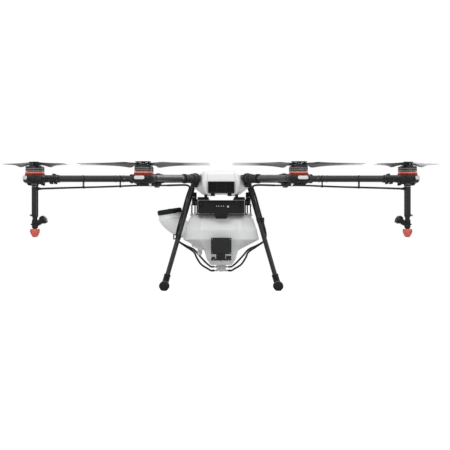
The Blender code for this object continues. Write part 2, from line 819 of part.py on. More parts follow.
def build_rack(bm):
    """A folded channel, open in the middle of its top, that the battery slides into from the nose."""
    inner = BATTERY_HALF + RACK_PLAY
    outer = inner + RACK_WALL
    floor = BATTERY_LOW - RACK_PLAY
    low = floor - RACK_WALL
    under = rack_top() - RACK_WALL
    half = [(outer, low), (outer, rack_top()), (RACK_LIP, rack_top()), (RACK_LIP, under), (inner, under), (inner, floor)]
    outline = half + [(-x, z) for x, z in reversed(half)]
    rings = [[Vector((x, y, z)) for x, z in outline] for y in (RACK_FRONT, RACK_BACK)]
    add_rings(bm, rings)


def battery_mesh():
    """Battery case with a pull handle below its front face and a bore for the power button."""
    back = BATTERY_FRONT + BATTERY_LENGTH
    case = mesh_of("case", lambda bm: add_box(bm, (-BATTERY_HALF, BATTERY_FRONT, BATTERY_LOW), (BATTERY_HALF, back, BATTERY_HIGH)))

    def build_handle(bm):
        outline = [(-20, HANDLE_LOW / MM), (20, HANDLE_LOW / MM), (26, 284), (26, 296), (-26, 296), (-26, 284)]
        ends = (BATTERY_FRONT - 1 * MM, BATTERY_FRONT + HANDLE_THICKNESS)
        add_rings(bm, [[Vector((x * MM, y, z * MM)) for x, z in outline] for y in ends])

    bore_end = BATTERY_FRONT + BUTTON_DEPTH + 2 * BUTTON_PROUD
    frame = along((0, 1, 0), Vector((BUTTON_X, 0, BUTTON_Z)))
    bore = mesh_of("bore", lambda bm: add_cylinder(bm, BUTTON_R + 2 * GAP, BATTERY_FRONT - 5 * MM, bore_end, 12, frame))
    return combine("battery", case, [mesh_of("handle", build_handle)], [bore])


# Tank, filler and lid


def funnel_ring(centre, tilt, radius, sides=12):
    angle = math.radians(tilt)
    u = Vector((math.cos(angle), 0, math.sin(angle)))
    v = Vector((0, 1, 0))
    turns = [2 * math.pi * (k + 0.5) / sides for k in range(sides)]
    return [centre + radius * (math.cos(a) * u + math.sin(a) * v) for a in turns]


def mouth_frame():
    """Frame of the filler's mouth: Z leans outwards, away from the airframe."""
    return Matrix.Translation(MOUTH) @ Matrix.Rotation(math.radians(-MOUTH_TILT), 4, "Y")


def tank_mesh():
    """A hollow blow-moulded tank with a slanted filler on its left flank."""

    def build_body(bm):
        add_rings(bm, [eight_corner_ring(s, TANK_CORNER) for s in TANK_SECTIONS])

    def build_funnel(bm):
        add_rings(bm, [funnel_ring(*ring) for ring in FUNNEL_RINGS])

    def build_hinge(bm):
        add_cylinder(bm, LID_KNUCKLE_R, -LID_KNUCKLE_HALF, LID_KNUCKLE_HALF, 8, lid_hinge_frame())

    def build_hinge_arm(bm):
        x0, x1 = MOUTH_R - 3 * MM, LID_HINGE_OFFSET
        add_box(bm, (x0, -LID_KNUCKLE_HALF, -9 * MM), (x1, LID_KNUCKLE_HALF, LID_HINGE_RISE - LID_KNUCKLE_R + 1 * MM), mouth_frame())

    def build_hollow(bm):
        rings = [eight_corner_ring(TANK_SECTIONS[0], TANK_CORNER, TANK_WALL, TANK_WALL)]
        rings += [eight_corner_ring(s, TANK_CORNER, TANK_WALL) for s in TANK_SECTIONS[1:-1]]
        rings.append(eight_corner_ring(TANK_SECTIONS[-1], TANK_CORNER, TANK_WALL, -TANK_WALL))
        add_rings(bm, rings)

    def build_filler_bore(bm):
        thin = MOUTH_R - MOUTH_BORE_R
        up = mouth_frame().to_3x3() @ Vector((0, 0, 10 * MM))
        rings = [funnel_ring(MOUTH + up, MOUTH_TILT, MOUTH_BORE_R)]
        rings += [funnel_ring(c, t, r - thin) for c, t, r in FUNNEL_RINGS]
        add_rings(bm, rings)

    solids = [mesh_of("tank", f) for f in (build_body, build_funnel, build_hinge_arm, build_hinge)]
    cuts = [mesh_of("cut", f) for f in (build_hollow, build_filler_bore)]
    return combine("tank", solids[0], solids[1:], cuts)


def lid_hinge_frame():
    """Frame of the lid's hinge: Z runs along the hinge's axis, towards +Y."""
    return mouth_frame() @ Matrix.Translation((LID_HINGE_OFFSET, 0, LID_HINGE_RISE)) @ along((0, 1, 0))


def lid_mesh():
    """Round lid with two hinge knuckles on its inner edge, in the mouth's frame."""
    low = 2 * GAP
    top = low + LID_THICKNESS
    disc = [(0, low), (LID_R, low), (LID_R, top - 3 * MM), (LID_R - 3 * MM, top), (0, top)]
    hinge = Matrix.Translation((LID_HINGE_OFFSET, 0, LID_HINGE_RISE)) @ along((0, 1, 0))
    parts = [mesh_of("lid", lambda bm: add_turned(bm, disc, 20))]
    for side in (-1, 1):
        y0, y1 = sorted((side * (LID_KNUCKLE_HALF + 2 * GAP), side * LID_KNUCKLE_END))
        parts.append(mesh_of("knuckle", lambda bm: add_cylinder(bm, LID_KNUCKLE_R, y0, y1, 8, hinge)))
        x0 = LID_R - 5 * MM
        parts.append(mesh_of("arm", lambda bm: add_box(bm, (x0, y0, LID_HINGE_RISE), (LID_HINGE_OFFSET, y1, LID_HINGE_RISE + 3 * MM))))
    return combine("lid", parts[0], parts[1:])


# Landing gear


def leg_ends(side_x, side_y):
    flip = Vector((side_x, side_y, 1))
    return LEG_TOP * flip, LEG_FOOT * flip


def landing_gear_mesh(side_x, clip_height):
    """Two splayed legs, their joints, the skid tube between its rubber feet, and a hose clip: one bonded body."""
    x = side_x * LEG_FOOT.x
    builders = [lambda bm: add_cylinder(bm, SKID_R, -SKID_HALF, SKID_HALF, 12, along((0, 1, 0), Vector((x, 0, SKID_HEIGHT))))]
    for side_y in (-1, 1):
        top, foot = leg_ends(side_x, side_y)
        upright = along(top - foot, foot)
        level = along((0, 1, 0), foot)
        length = (top - foot).length
        builders.append(lambda bm, u=upright, n=length: add_cylinder(bm, LEG_R, 0, n, 12, u))
        builders.append(lambda bm, u=upright: add_cylinder(bm, TEE_R, 0, TEE_LENGTH, 12, u))
        builders.append(lambda bm, v=level: add_cylinder(bm, TEE_R + 1 * MM, -TEE_HALF, TEE_HALF, 12, v))
        builders.append(lambda bm, sy=side_y: build_bumper(bm, side_x, sy))
    top, foot = leg_ends(side_x, -1)
    middle = foot.lerp(top, (clip_height - foot.z) / (top.z - foot.z))
    middle += Vector((side_x * (LEG_R + CLIP_SIZE.x / 2 - 2 * MM), CLIP_OFFSET, 0))
    builders.append(lambda bm: add_box(bm, middle - CLIP_SIZE / 2, middle + CLIP_SIZE / 2))
    return fuse("landing_gear", builders)


def build_bumper(bm, side_x, side_y):
    """Rubber foot with a flat underside on one end of a skid tube."""
    outline = []
    for k in range(12):
        angle = 2 * math.pi * (k + 0.5) / 12
        x = side_x * LEG_FOOT.x + BUMPER_R * math.cos(angle)
        outline.append((x, max(SKID_HEIGHT + BUMPER_R * math.sin(angle), 0)))
    ends = (side_y * (SKID_HALF - 10 * MM), side_y * (SKID_HALF + BUMPER_LENGTH))
    add_rings(bm, [[Vector((x, y, z)) for x, z in outline] for y in ends])


# Spray system fixed to the airframe


def pump_mesh(side_x):
    """A delivery pump beside the battery with its two short hoses down to the tank."""

    def build_pump(bm):
        add_cylinder(bm, PUMP_R, PUMP_LOW, PUMP_HIGH, 12, Matrix.Translation((side_x * PUMP_X, PUMP_Y, 0)))

    def build_feet(bm):
        x0, x1 = sorted((side_x * (PUMP_X - PUMP_R), side_x * (PUMP_X + PUMP_R + 4 * MM)))
        add_box(bm, (x0, PUMP_Y - 6 * MM, PUMP_LOW - 3 * MM), (x1, PUMP_Y + 6 * MM, PUMP_LOW + 1 * MM))

    def hose_builder(offset):
        x, y, top = side_x * (PUMP_X / MM + offset), PUMP_Y / MM, PUMP_LOW / MM - 1
        route = smooth_route([(x, y, top), (x, y, 306), (x + side_x, y, 286)], 2)
        return lambda bm: add_sweep(bm, route, 2.5 * MM)

    return fuse("pump", [build_pump, build_feet, hose_builder(-3), hose_builder(9)])


def manifold_mesh():
    """Outlet block under the tank with four barbs, and the four spray hoses that are pushed onto them."""
    top = TANK_SECTIONS[0][0] - GAP

    def build_block(bm):
        add_box(bm, (-MANIFOLD_HALF, -MANIFOLD_HALF, MANIFOLD_LOW), (MANIFOLD_HALF, MANIFOLD_HALF, top))

    builders = [build_block]
    for side_x in (-1, 1):
        for order, height in BARBS.items():
            frame = along((side_x, 0, 0), Vector((0, -order * BARB_Y, height)))
            builders.append(lambda bm, f=frame: add_cylinder(bm, BARB_R, MANIFOLD_HALF - 1 * MM, BARB_END + 2 * MM, 8, f))
        for side_y in (-1, 1):
            route = smooth_route(hose_route(side_x, side_y), 1)
            builders.append(lambda bm, r=route: add_sweep(bm, r))
    return fuse("manifold", builders)


def radar_mesh():
    """Flat radar module on its bracket, ahead of the tank."""
    back = RADAR_FRONT + RADAR_DEPTH
    half = RADAR_HALF_WIDTH
    boxes = [
        ((-half, RADAR_FRONT, RADAR_LOW), (half, back, RADAR_HIGH)),
        ((-19 * MM, RADAR_FRONT + 4 * MM, 120 * MM), (16 * MM, back - 2 * MM, RADAR_LOW + 2 * MM)),
        ((-half, RADAR_FRONT + 5 * MM, 114 * MM), (half, RADAR_BRACKET_BACK, 121 * MM)),
        ((18 * MM, RADAR_FRONT + 6 * MM, 120 * MM), (half - 1 * MM, back - 3 * MM, 132 * MM)),
    ]
    return fuse("radar", [lambda bm, b=box: add_box(bm, *b) for box in boxes])


def hose_route(side_x, side_y):
    """Points of the hose from a sideways arm, down its leg and round to the outlet manifold, in millimetres."""
    order = -side_y
    low = BARBS[order] / MM
    down_leg = [
        (203.6, 114.7, 397), (170, 113.5, 398), (142, 110, 398.5), (125, 106, 396.5), (119, 105, 389),
        (122, 106.5, 378), (129, 109, 358), (136, 111.5, 334), (145, 113, 300), (157, 118, 260),
        (166, 114, 226), (168, 107, 204), (160, 104, 186),
    ]
    # The points suit a leg of 8.5 mm radius, and step off a thicker one.
    out = 1.6 * (LEG_R / MM - 8.5)
    down_leg = [(x + out, y + (out if z > 215 else -out), z) if z < 398 and z > 180 else (x, y, z) for x, y, z in down_leg]
    if side_y < 0:
        home = [(132, 96, 166), (103, 86, 146), (92, 76, 124), (75, 62, 99), (52, 40, 84), (38, 19, low), (26.5, 9, low)]
    else:
        home = [(134, 96, 170), (104, 88, 156), (84, 76, 134), (62, 52, 110), (44, 27, 94), (35, 12, low), (26.5, 9, low)]
    return [(side_x * x, side_y * y, z) for x, y, z in down_leg + home]


# Assembly


def place_airframe():
    place("centre_frame", centre_frame_mesh(), "carbon")
    place("flight_controller", mesh_of("flight_controller", build_controller), "black_plastic")
    place("power_board", mesh_of("power_board", build_power_board), "black_plastic")
    place("top_shell", shell_mesh(), "white_shell")
    place("air_grille", mesh_of("air_grille", build_grille), "black_plastic")
    place("battery_rack", mesh_of("battery_rack", build_rack), "black_plastic")
    place("battery", battery_mesh(), "black_plastic")
    button = mesh_of("button", lambda bm: add_cylinder(bm, BUTTON_R, 0, BUTTON_DEPTH, 12, along((0, 1, 0))))
    place("power_button", button, "grey_plastic", location=(BUTTON_X, BATTERY_FRONT - BUTTON_PROUD, BUTTON_Z))


def place_spray_system():
    place("spray_tank", tank_mesh(), "tank_plastic")
    lid = lid_mesh()
    hinge = lid_hinge_frame().to_translation()
    lid.transform(Matrix.Translation(-hinge) @ mouth_frame())
    place("filler_lid", lid, "black_plastic", location=hinge)
    place("delivery_pump_left", pump_mesh(-1), "black_plastic")
    place("delivery_pump_right", pump_mesh(1), "black_plastic")
    place("outlet_manifold", manifold_mesh(), "grey_plastic")
    place("radar_module", radar_mesh(), "black_plastic")


def place_landing_gear():
    place("landing_gear_left", landing_gear_mesh(-1, 203 * MM), "carbon")
    place("landing_gear_right", landing_gear_mesh(1, 266 * MM), "carbon")


def blade_turn(number):
    """The direction of blade a in the arm's frame, in radians: nearly square to the arm."""
    turn = OUTER_BLADE_TURN if carries_nozzle(number) else INNER_BLADE_TURN
    return math.radians(-turn if turns_clockwise(number) else turn)


def place_arms():
    arm, pod, bell = arm_mesh(), pod_mesh(), bell_mesh()
    blades = {True: blade_mesh(-1), False: blade_mesh(1)}
    nozzles = {1: nozzle_mesh(1), -1: nozzle_mesh(-1)}
    _, top, high, _ = hub_heights()
    for number in range(1, ARM_COUNT + 1):
        frame = arm_frame(number)
        pivot = place_empty(f"arm_pivot_{number}", frame.to_translation(), arm_angle(number))
        place(f"frame_arm_{number}", arm, "carbon", pivot)
        place(f"motor_pod_{number}", pod, "black_plastic", pivot, (arm_length(), 0, FOLD_DROP))
        if carries_nozzle(number):
            place(f"spray_nozzle_{number}", nozzles[hose_side(number)], "black_plastic", pivot)
        spindle = place_empty(f"spindle_{number}", (arm_length(), 0, FOLD_DROP), blade_turn(number), pivot)
        place(f"motor_bell_{number}", bell, "dark_metal", spindle)
        for letter, turn in (("a", 0.0), ("b", math.pi)):
            offset = Matrix.Rotation(turn, 3, "Z") @ Vector((BLADE_PIVOT_RADIUS, 0, (top + high) / 2))
            place(f"blade_{number}{letter}", blades[turns_clockwise(number)], "propeller", spindle, offset, turn)


def main():
    clear_scene()
    place_airframe()
    place_spray_system()
    place_landing_gear()
    place_arms()


main()
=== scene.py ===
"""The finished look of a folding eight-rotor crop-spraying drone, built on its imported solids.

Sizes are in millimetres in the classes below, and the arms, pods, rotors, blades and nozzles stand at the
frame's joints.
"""

import json
import logging
import math
from collections.abc import Callable, Iterable, Sequence
from dataclasses import dataclass, field
from enum import Enum

import bmesh
import bpy
from mathutils import Matrix, Vector

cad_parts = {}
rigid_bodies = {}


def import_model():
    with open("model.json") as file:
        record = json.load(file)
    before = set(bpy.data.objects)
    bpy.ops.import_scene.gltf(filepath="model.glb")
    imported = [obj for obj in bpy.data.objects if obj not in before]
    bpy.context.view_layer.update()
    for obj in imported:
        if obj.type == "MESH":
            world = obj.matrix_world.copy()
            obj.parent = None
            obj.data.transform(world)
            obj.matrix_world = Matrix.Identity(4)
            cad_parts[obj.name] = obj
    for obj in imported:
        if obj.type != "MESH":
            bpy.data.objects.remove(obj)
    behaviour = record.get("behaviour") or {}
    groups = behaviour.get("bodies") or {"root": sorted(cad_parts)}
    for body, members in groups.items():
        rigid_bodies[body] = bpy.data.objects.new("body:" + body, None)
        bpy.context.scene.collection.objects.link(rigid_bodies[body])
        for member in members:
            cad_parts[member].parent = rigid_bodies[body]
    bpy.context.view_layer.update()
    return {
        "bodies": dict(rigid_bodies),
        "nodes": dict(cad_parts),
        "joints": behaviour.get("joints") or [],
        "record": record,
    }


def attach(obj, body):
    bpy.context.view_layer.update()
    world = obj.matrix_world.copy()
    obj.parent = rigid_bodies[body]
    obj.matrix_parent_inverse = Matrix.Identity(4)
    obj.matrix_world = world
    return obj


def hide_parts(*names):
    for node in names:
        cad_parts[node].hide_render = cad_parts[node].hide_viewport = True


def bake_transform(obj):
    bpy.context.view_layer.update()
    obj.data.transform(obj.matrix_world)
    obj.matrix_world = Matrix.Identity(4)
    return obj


LOG = logging.getLogger("spray_drone")
MM = 0.001
Point = Vector | tuple[float, float, float]
Flat = tuple[float, float]


# Surface effects, each a node group that any material can hold


class Pattern(Enum):
    """The relief that a finish carries besides its grain."""

    PLAIN = "plain"
    TWILL = "carbon twill"
    TURNED = "turned rings"
    RIBBED = "fine ribs"
    FLOW = "moulding flow"


class Effects:
    """Builds the shared shader node groups once and hands them out by name."""

    def __init__(self) -> None:
        """Starts with no group built."""
        self.made: dict[str, bpy.types.NodeTree] = {}

    def group(self, name: str, build: Callable[[bpy.types.NodeTree], None]) -> bpy.types.NodeTree:
        """Returns the group of that name, building it at its first use.

        Args:
            name: The group's name.
            build: Fills an empty group with its sockets and nodes.

        Returns:
            The finished group.
        """
        if name not in self.made:
            tree = bpy.data.node_groups.new(name, "ShaderNodeTree")
            build(tree)
            self.made[name] = tree
        return self.made[name]

    @staticmethod
    def sockets(tree: bpy.types.NodeTree, inputs: dict[str, float], outputs: Sequence[str]) -> tuple:
        """Gives a group its float sockets and its input and output nodes.

        Args:
            tree: The group.
            inputs: The default value of each input, by name.
            outputs: The names of the outputs.

        Returns:
            The group's input node and output node.
        """
        for name, value in inputs.items():
            tree.interface.new_socket(name, in_out="INPUT",
                                      socket_type="NodeSocketFloat").default_value = value
        for name in outputs:
            tree.interface.new_socket(name, in_out="OUTPUT", socket_type="NodeSocketFloat")
        return tree.nodes.new("NodeGroupInput"), tree.nodes.new("NodeGroupOutput")

    @staticmethod
    def maths(tree: bpy.types.NodeTree, operation: str, *values: object) -> bpy.types.NodeSocket:
        """Adds a Math node fed by sockets or numbers.

        Args:
            tree: Where the node goes.
            operation: The Math node's operation.
            values: Its inputs, each a socket or a number.

        Returns:
            The node's output socket.
        """
        node = tree.nodes.new("ShaderNodeMath")
        node.operation = operation
        for slot, value in zip(node.inputs, values):
            if isinstance(value, (int, float)):
                slot.default_value = value
            else:
                tree.links.new(value, slot)
        return node.outputs[0]

    def grain(self) -> bpy.types.NodeTree:
        """Fine moulded or cast grain: a height, and a slow mottle over the surface."""

        def build(tree: bpy.types.NodeTree) -> None:
            """Fills the grain group."""
            source, out = self.sockets(tree, {"Scale": 900.0, "Mottle Scale": 14.0}, ("Height", "Mottle"))
            place = tree.nodes.new("ShaderNodeTexCoord")
            for scale, detail, target in (("Scale", 2.0, "Height"), ("Mottle Scale", 4.0, "Mottle")):
                noise = tree.nodes.new("ShaderNodeTexNoise")
                noise.inputs["Detail"].default_value = detail
                tree.links.new(place.outputs["Object"], noise.inputs["Vector"])
                tree.links.new(source.outputs[scale], noise.inputs["Scale"])
                tree.links.new(noise.outputs["Fac"], out.inputs[target])

        return self.group("moulded_grain", build)

    def wear_and_highlight(self) -> bpy.types.NodeTree:
        """A mask of outer edges, broken up by noise: rubbed wear on dark finishes and steel, a painted
        highlight on pale and orange finishes.
        """

        def build(tree: bpy.types.NodeTree) -> None:
            """Fills the edge wear and highlight group."""
            source, out = self.sockets(tree, {"Amount": 0.5}, ("Mask",))
            shape = tree.nodes.new("ShaderNodeNewGeometry")
            noise = tree.nodes.new("ShaderNodeTexNoise")
            noise.inputs["Scale"].default_value = 120.0
            noise.inputs["Detail"].default_value = 6.0
            edge = self.maths(tree, "SUBTRACT", shape.outputs["Pointiness"], 0.53)
            edge = self.maths(tree, "MULTIPLY", edge, 9.0)
            edge = self.maths(tree, "MULTIPLY", edge, noise.outputs["Fac"])
            edge = self.maths(tree, "MINIMUM", self.maths(tree, "MAXIMUM", edge, 0.0), 1.0)
            tree.links.new(self.maths(tree, "MULTIPLY", edge, source.outputs["Amount"]), out.inputs["Mask"])

        return self.group("edge_wear_and_highlight", build)

    def dust(self) -> bpy.types.NodeTree:
        """A mask of fine field dust that settles on faces that look up."""

        def build(tree: bpy.types.NodeTree) -> None:
            """Fills the dust group."""
            source, out = self.sockets(tree, {"Amount": 0.1}, ("Mask",))
            shape = tree.nodes.new("ShaderNodeNewGeometry")
            split = tree.nodes.new("ShaderNodeSeparateXYZ")
            tree.links.new(shape.outputs["Normal"], split.inputs[0])
            noise = tree.nodes.new("ShaderNodeTexNoise")
            noise.inputs["Scale"].default_value = 35.0
            noise.inputs["Detail"].default_value = 8.0
            up = self.maths(tree, "MAXIMUM", split.outputs["Z"], 0.0)
            up = self.maths(tree, "ADD", up, 0.25)
            up = self.maths(tree, "MULTIPLY", up, noise.outputs["Fac"])
            tree.links.new(self.maths(tree, "MULTIPLY", up, source.outputs["Amount"]), out.inputs["Mask"])

        return self.group("settled_dust", build)

    def relief(self, pattern: Pattern) -> bpy.types.NodeTree:
        """The height and shade of one pattern.

        Args:
            pattern: Which relief to build.

        Returns:
            The pattern's node group.
        """

        def build(tree: bpy.types.NodeTree) -> None:
            """Fills the pattern's group."""
            source, out = self.sockets(tree, {"Pitch": 0.004}, ("Height", "Shade"))
            place = tree.nodes.new("ShaderNodeTexCoord")
            split = tree.nodes.new("ShaderNodeSeparateXYZ")
            kind = "Object" if pattern is Pattern.FLOW else "UV"
            tree.links.new(place.outputs[kind], split.inputs[0])
            across, along = split.outputs["X"], split.outputs["Y"]
            turn = self.maths(tree, "DIVIDE", 2 * math.pi, source.outputs["Pitch"])
            if pattern is Pattern.TWILL:
                lean = self.maths(tree, "ADD", across, along)
                warp = self.maths(tree, "SINE", self.maths(tree, "MULTIPLY", lean, turn))
                weft = self.maths(tree, "SINE", self.maths(tree, "MULTIPLY", across, turn))
                wave = self.maths(tree, "MULTIPLY", warp, weft)
            elif pattern is Pattern.RIBBED:
                wave = self.maths(tree, "SINE", self.maths(tree, "MULTIPLY", across, turn))
            elif pattern is Pattern.TURNED:
                wave = self.maths(tree, "SINE", self.maths(tree, "MULTIPLY", along, turn))
            else:
                noise = tree.nodes.new("ShaderNodeTexNoise")
                noise.inputs["Scale"].default_value = 22.0
                noise.inputs["Distortion"].default_value = 1.2
                tree.links.new(place.outputs["Object"], noise.inputs["Vector"])
                wave = self.maths(tree, "SUBTRACT", noise.outputs["Fac"], 0.5)
            shade = self.maths(tree, "MULTIPLY_ADD", wave, 0.5, 0.5)
            tree.links.new(wave, out.inputs["Height"])
            tree.links.new(shade, out.inputs["Shade"])

        return self.group("relief_" + pattern.value.replace(" ", "_"), build)


EFFECTS = Effects()


@dataclass(frozen=True)
class Finish:
    """One surface finish: its colour, gloss, relief, and an edge colour that is rubbed wear on dark finishes
    and a painted highlight on pale and orange ones.

    The slot is the record's material slot that the finish stands for.
    """

    name: str
    slot: str
    colour: tuple[float, float, float]
    roughness: float = 0.45
    metallic: float = 0.0
    coat: float = 0.0
    specular: float = 0.5
    alpha: float = 1.0
    glow: float = 0.0
    soft: float = 0.0
    pattern: Pattern = Pattern.PLAIN
    pitch: float = 0.004
    relief: float = 0.0
    contrast: float = 0.0
    grain_scale: float = 900.0
    grain: float = 0.02
    mottle: float = 0.12
    wear_and_highlight: float = 0.25
    wear_and_highlight_colour: tuple[float, float, float] = (0.20, 0.20, 0.21)
    dust: float = 0.06
    dust_colour: tuple[float, float, float] = (0.42, 0.38, 0.31)

    def material(self) -> bpy.types.Material:
        """Builds the finish as a procedural material, or returns the one already built.

        Returns:
            The material.
        """
        found = bpy.data.materials.get(self.name)
        if found is not None:
            return found
        material = bpy.data.materials.new(self.name)
        material.use_nodes = True
        tree = material.node_tree
        shader = tree.nodes["Principled BSDF"]
        shader.inputs["Metallic"].default_value = self.metallic
        shader.inputs["Coat Weight"].default_value = self.coat
        shader.inputs["Coat Roughness"].default_value = 0.15
        shader.inputs["Specular IOR Level"].default_value = self.specular
        shader.inputs["Alpha"].default_value = self.alpha
        if self.soft:
            shader.inputs["Subsurface Weight"].default_value = self.soft
            shader.inputs["Subsurface Radius"].default_value = (0.02, 0.02, 0.02)
            shader.inputs["Subsurface Scale"].default_value = 0.4
        if self.glow:
            shader.inputs["Emission Color"].default_value = (*self.colour, 1)
            shader.inputs["Emission Strength"].default_value = self.glow
        grain = self._placed(tree, EFFECTS.grain(), {"Scale": self.grain_scale})
        dark = tuple(c * (1 - self.mottle) for c in self.colour)
        light = tuple(min(c * (1 + self.mottle), 1) for c in self.colour)
        colour = self._mix(tree, grain.outputs["Mottle"], self._plain(tree, dark), self._plain(tree, light))
        height = Effects.maths(tree, "MULTIPLY", grain.outputs["Height"], self.grain)
        if self.pattern is not Pattern.PLAIN:
            relief = self._placed(tree, EFFECTS.relief(self.pattern), {"Pitch": self.pitch})
            shade = tuple(c * (1 - self.contrast) for c in self.colour)
            bright = tuple(min(c * (1 + self.contrast), 1) for c in self.colour)
            woven = self._mix(tree, relief.outputs["Shade"], self._plain(tree, shade),
                              self._plain(tree, bright))
            colour = self._mix(tree, 0.6, colour, woven)
            step = Effects.maths(tree, "MULTIPLY", relief.outputs["Height"], self.relief)
            height = Effects.maths(tree, "ADD", height, step)
        # Outer edges take the edge colour: rubbed wear on dark finishes and steel, a painted highlight on the
        # pale and orange finishes, whose edge colour is lighter.
        if self.wear_and_highlight:
            wear_and_highlight = self._placed(tree, EFFECTS.wear_and_highlight(), {"Amount": self.wear_and_highlight})
            colour = self._mix(tree, wear_and_highlight.outputs["Mask"], colour, self._plain(tree, self.wear_and_highlight_colour))
        if self.dust:
            dust = self._placed(tree, EFFECTS.dust(), {"Amount": self.dust})
            colour = self._mix(tree, dust.outputs["Mask"], colour, self._plain(tree, self.dust_colour))
        tree.links.new(colour, shader.inputs["Base Color"])
        rough = tree.nodes.new("ShaderNodeMapRange")
        rough.inputs["To Min"].default_value = max(self.roughness - 0.07, 0.05)
        rough.inputs["To Max"].default_value = min(self.roughness + 0.07, 1.0)
        tree.links.new(grain.outputs["Mottle"], rough.inputs["Value"])
        tree.links.new(rough.outputs["Result"], shader.inputs["Roughness"])
        bump = tree.nodes.new("ShaderNodeBump")
        bump.inputs["Strength"].default_value = 0.6
        bump.inputs["Distance"].default_value = 0.001
        tree.links.new(height, bump.inputs["Height"])
        tree.links.new(bump.outputs["Normal"], shader.inputs["Normal"])
        return material

    @staticmethod
    def _placed(tree: bpy.types.NodeTree, group: bpy.types.NodeTree,
                values: dict[str, float]) -> bpy.types.Node:
        """Places a node group in a material with its own values.

        Args:
            tree: The material's nodes.
            group: The group to place.
            values: The value of each input, by name.

        Returns:
            The group node.
        """
        node = tree.nodes.new("ShaderNodeGroup")
        node.node_tree = group
        for name, value in values.items():
            node.inputs[name].default_value = value
        return node

    @staticmethod
    def _plain(tree: bpy.types.NodeTree, colour: tuple[float, ...]) -> tuple[float, ...]:
        """Returns the colour with its alpha, as a Mix node's socket takes it."""
        return (*colour[:3], 1.0)

    @staticmethod
    def _mix(tree: bpy.types.NodeTree, factor: object, low: object, high: object) -> bpy.types.NodeSocket:
        """Adds a colour Mix node.

        Args:
            tree: Where the node goes.
            factor: The factor, a socket or a number.
            low: The colour at 0, a socket or four numbers.
            high: The colour at 1, a socket or four numbers.

        Returns:
            The mixed colour's socket.
        """
        node = tree.nodes.new("ShaderNodeMix")
        node.data_type = "RGBA"
        for slot, value in zip((node.inputs[0], node.inputs[6], node.inputs[7]), (factor, low, high)):
            if isinstance(value, bpy.types.NodeSocket):
                tree.links.new(value, slot)
            else:
                slot.default_value = value
        return node.outputs[2]


CARBON = Finish("carbon_twill", "carbon", (0.0085, 0.0085, 0.009), 0.36, coat=0.12, specular=0.28,
                pattern=Pattern.TWILL, pitch=0.0032, relief=0.10, contrast=0.35, grain=0.01, wear_and_highlight=0.08,
                dust=0.012)
CARBON_PLATE = Finish("carbon_plate", "carbon", (0.008, 0.008, 0.0085), 0.42, specular=0.28,
                      pattern=Pattern.TWILL,
                      pitch=0.005, relief=0.08, contrast=0.3, wear_and_highlight=0.15, dust=0.015)
BLACK_CAST = Finish("black_casting", "black_metal", (0.008, 0.008, 0.0085), 0.44, metallic=0.2, specular=0.25,
                    grain_scale=1500.0, grain=0.03, wear_and_highlight=0.25, wear_and_highlight_colour=(0.14, 0.14, 0.145), dust=0.015)
BLACK_MOULDED = Finish("black_moulded", "black_plastic", (0.006, 0.006, 0.0065), 0.5, specular=0.22,
                       grain=0.05,
                       wear_and_highlight=0.12, wear_and_highlight_colour=(0.10, 0.10, 0.105), dust=0.015)
# A lighter copy of the black plastic: on the pod cover and the clamp's upper half it is a painted highlight
# on the tops.
LIGHTER_BLACK_PLASTIC = Finish("black_plastic_lighter_copy", "black_plastic", (0.013, 0.013, 0.014), 0.46, specular=0.25, grain=0.04,
                    wear_and_highlight=0.12, wear_and_highlight_colour=(0.12, 0.12, 0.125), dust=0.015)
BLACK_GLOSS = Finish("black_gloss", "black_plastic", (0.003, 0.003, 0.0034), 0.24, coat=0.12, specular=0.3,
                     grain=0.004, wear_and_highlight=0.05, dust=0.01)
MOTOR_DARK = Finish("motor_bell_grey", "motor_metal", (0.011, 0.011, 0.012), 0.38, metallic=0.3, specular=0.3,
                    pattern=Pattern.TURNED, pitch=0.0009, relief=0.03, contrast=0.12, wear_and_highlight=0.12,
                    wear_and_highlight_colour=(0.2, 0.2, 0.21), dust=0.01)
# Pale metal for the rings in the bell's grooves: painted highlight lines.
BELL_HIGHLIGHT_METAL = Finish("bell_highlight_rings", "steel", (0.62, 0.60, 0.58), 0.34, metallic=0.5,
                    pattern=Pattern.TURNED,
                    pitch=0.0006, relief=0.02, contrast=0.1, wear_and_highlight=0.0, dust=0.03)
ORANGE = Finish("orange_anodised", "orange_metal", (0.66, 0.155, 0.115), 0.36, metallic=0.15,
                pattern=Pattern.TURNED, pitch=0.0008, relief=0.02, contrast=0.08, wear_and_highlight=0.3,
                wear_and_highlight_colour=(0.8, 0.5, 0.42))
ORANGE_DARK = Finish("orange_vent_band", "orange_metal", (0.27, 0.026, 0.018), 0.46, metallic=0.1,
                     specular=0.3,
                     wear_and_highlight=0.15, wear_and_highlight_colour=(0.5, 0.2, 0.15), dust=0.02)
COPPER = Finish("copper_windings", "motor_metal", (0.16, 0.055, 0.02), 0.4, metallic=0.7,
                pattern=Pattern.RIBBED,
                pitch=0.0012, relief=0.4, contrast=0.3, wear_and_highlight=0.0, dust=0.0)
SPRAY_ORANGE = Finish("spray_cap_orange", "spray_orange", (0.56, 0.088, 0.060), 0.42, grain=0.05, wear_and_highlight=0.2,
                      wear_and_highlight_colour=(0.75, 0.42, 0.36))
PROPELLER = Finish("propeller_nylon", "propeller", (0.020, 0.020, 0.0215), 0.4, coat=0.05, specular=0.3,
                   pattern=Pattern.FLOW, relief=0.25, contrast=0.25, grain_scale=2200.0, grain=0.02,
                   mottle=0.2,
                   wear_and_highlight=0.2, wear_and_highlight_colour=(0.10, 0.10, 0.105), dust=0.012)
# Its lighter edge colour is a painted highlight along the cover's edges and creases.
SHELL_WHITE = Finish("cover_white", "white_shell", (0.64, 0.645, 0.65), 0.30, coat=0.25, grain=0.006,
                     mottle=0.015,
                     wear_and_highlight=0.25, wear_and_highlight_colour=(0.86, 0.86, 0.86), dust=0.08, dust_colour=(0.52, 0.49, 0.44))
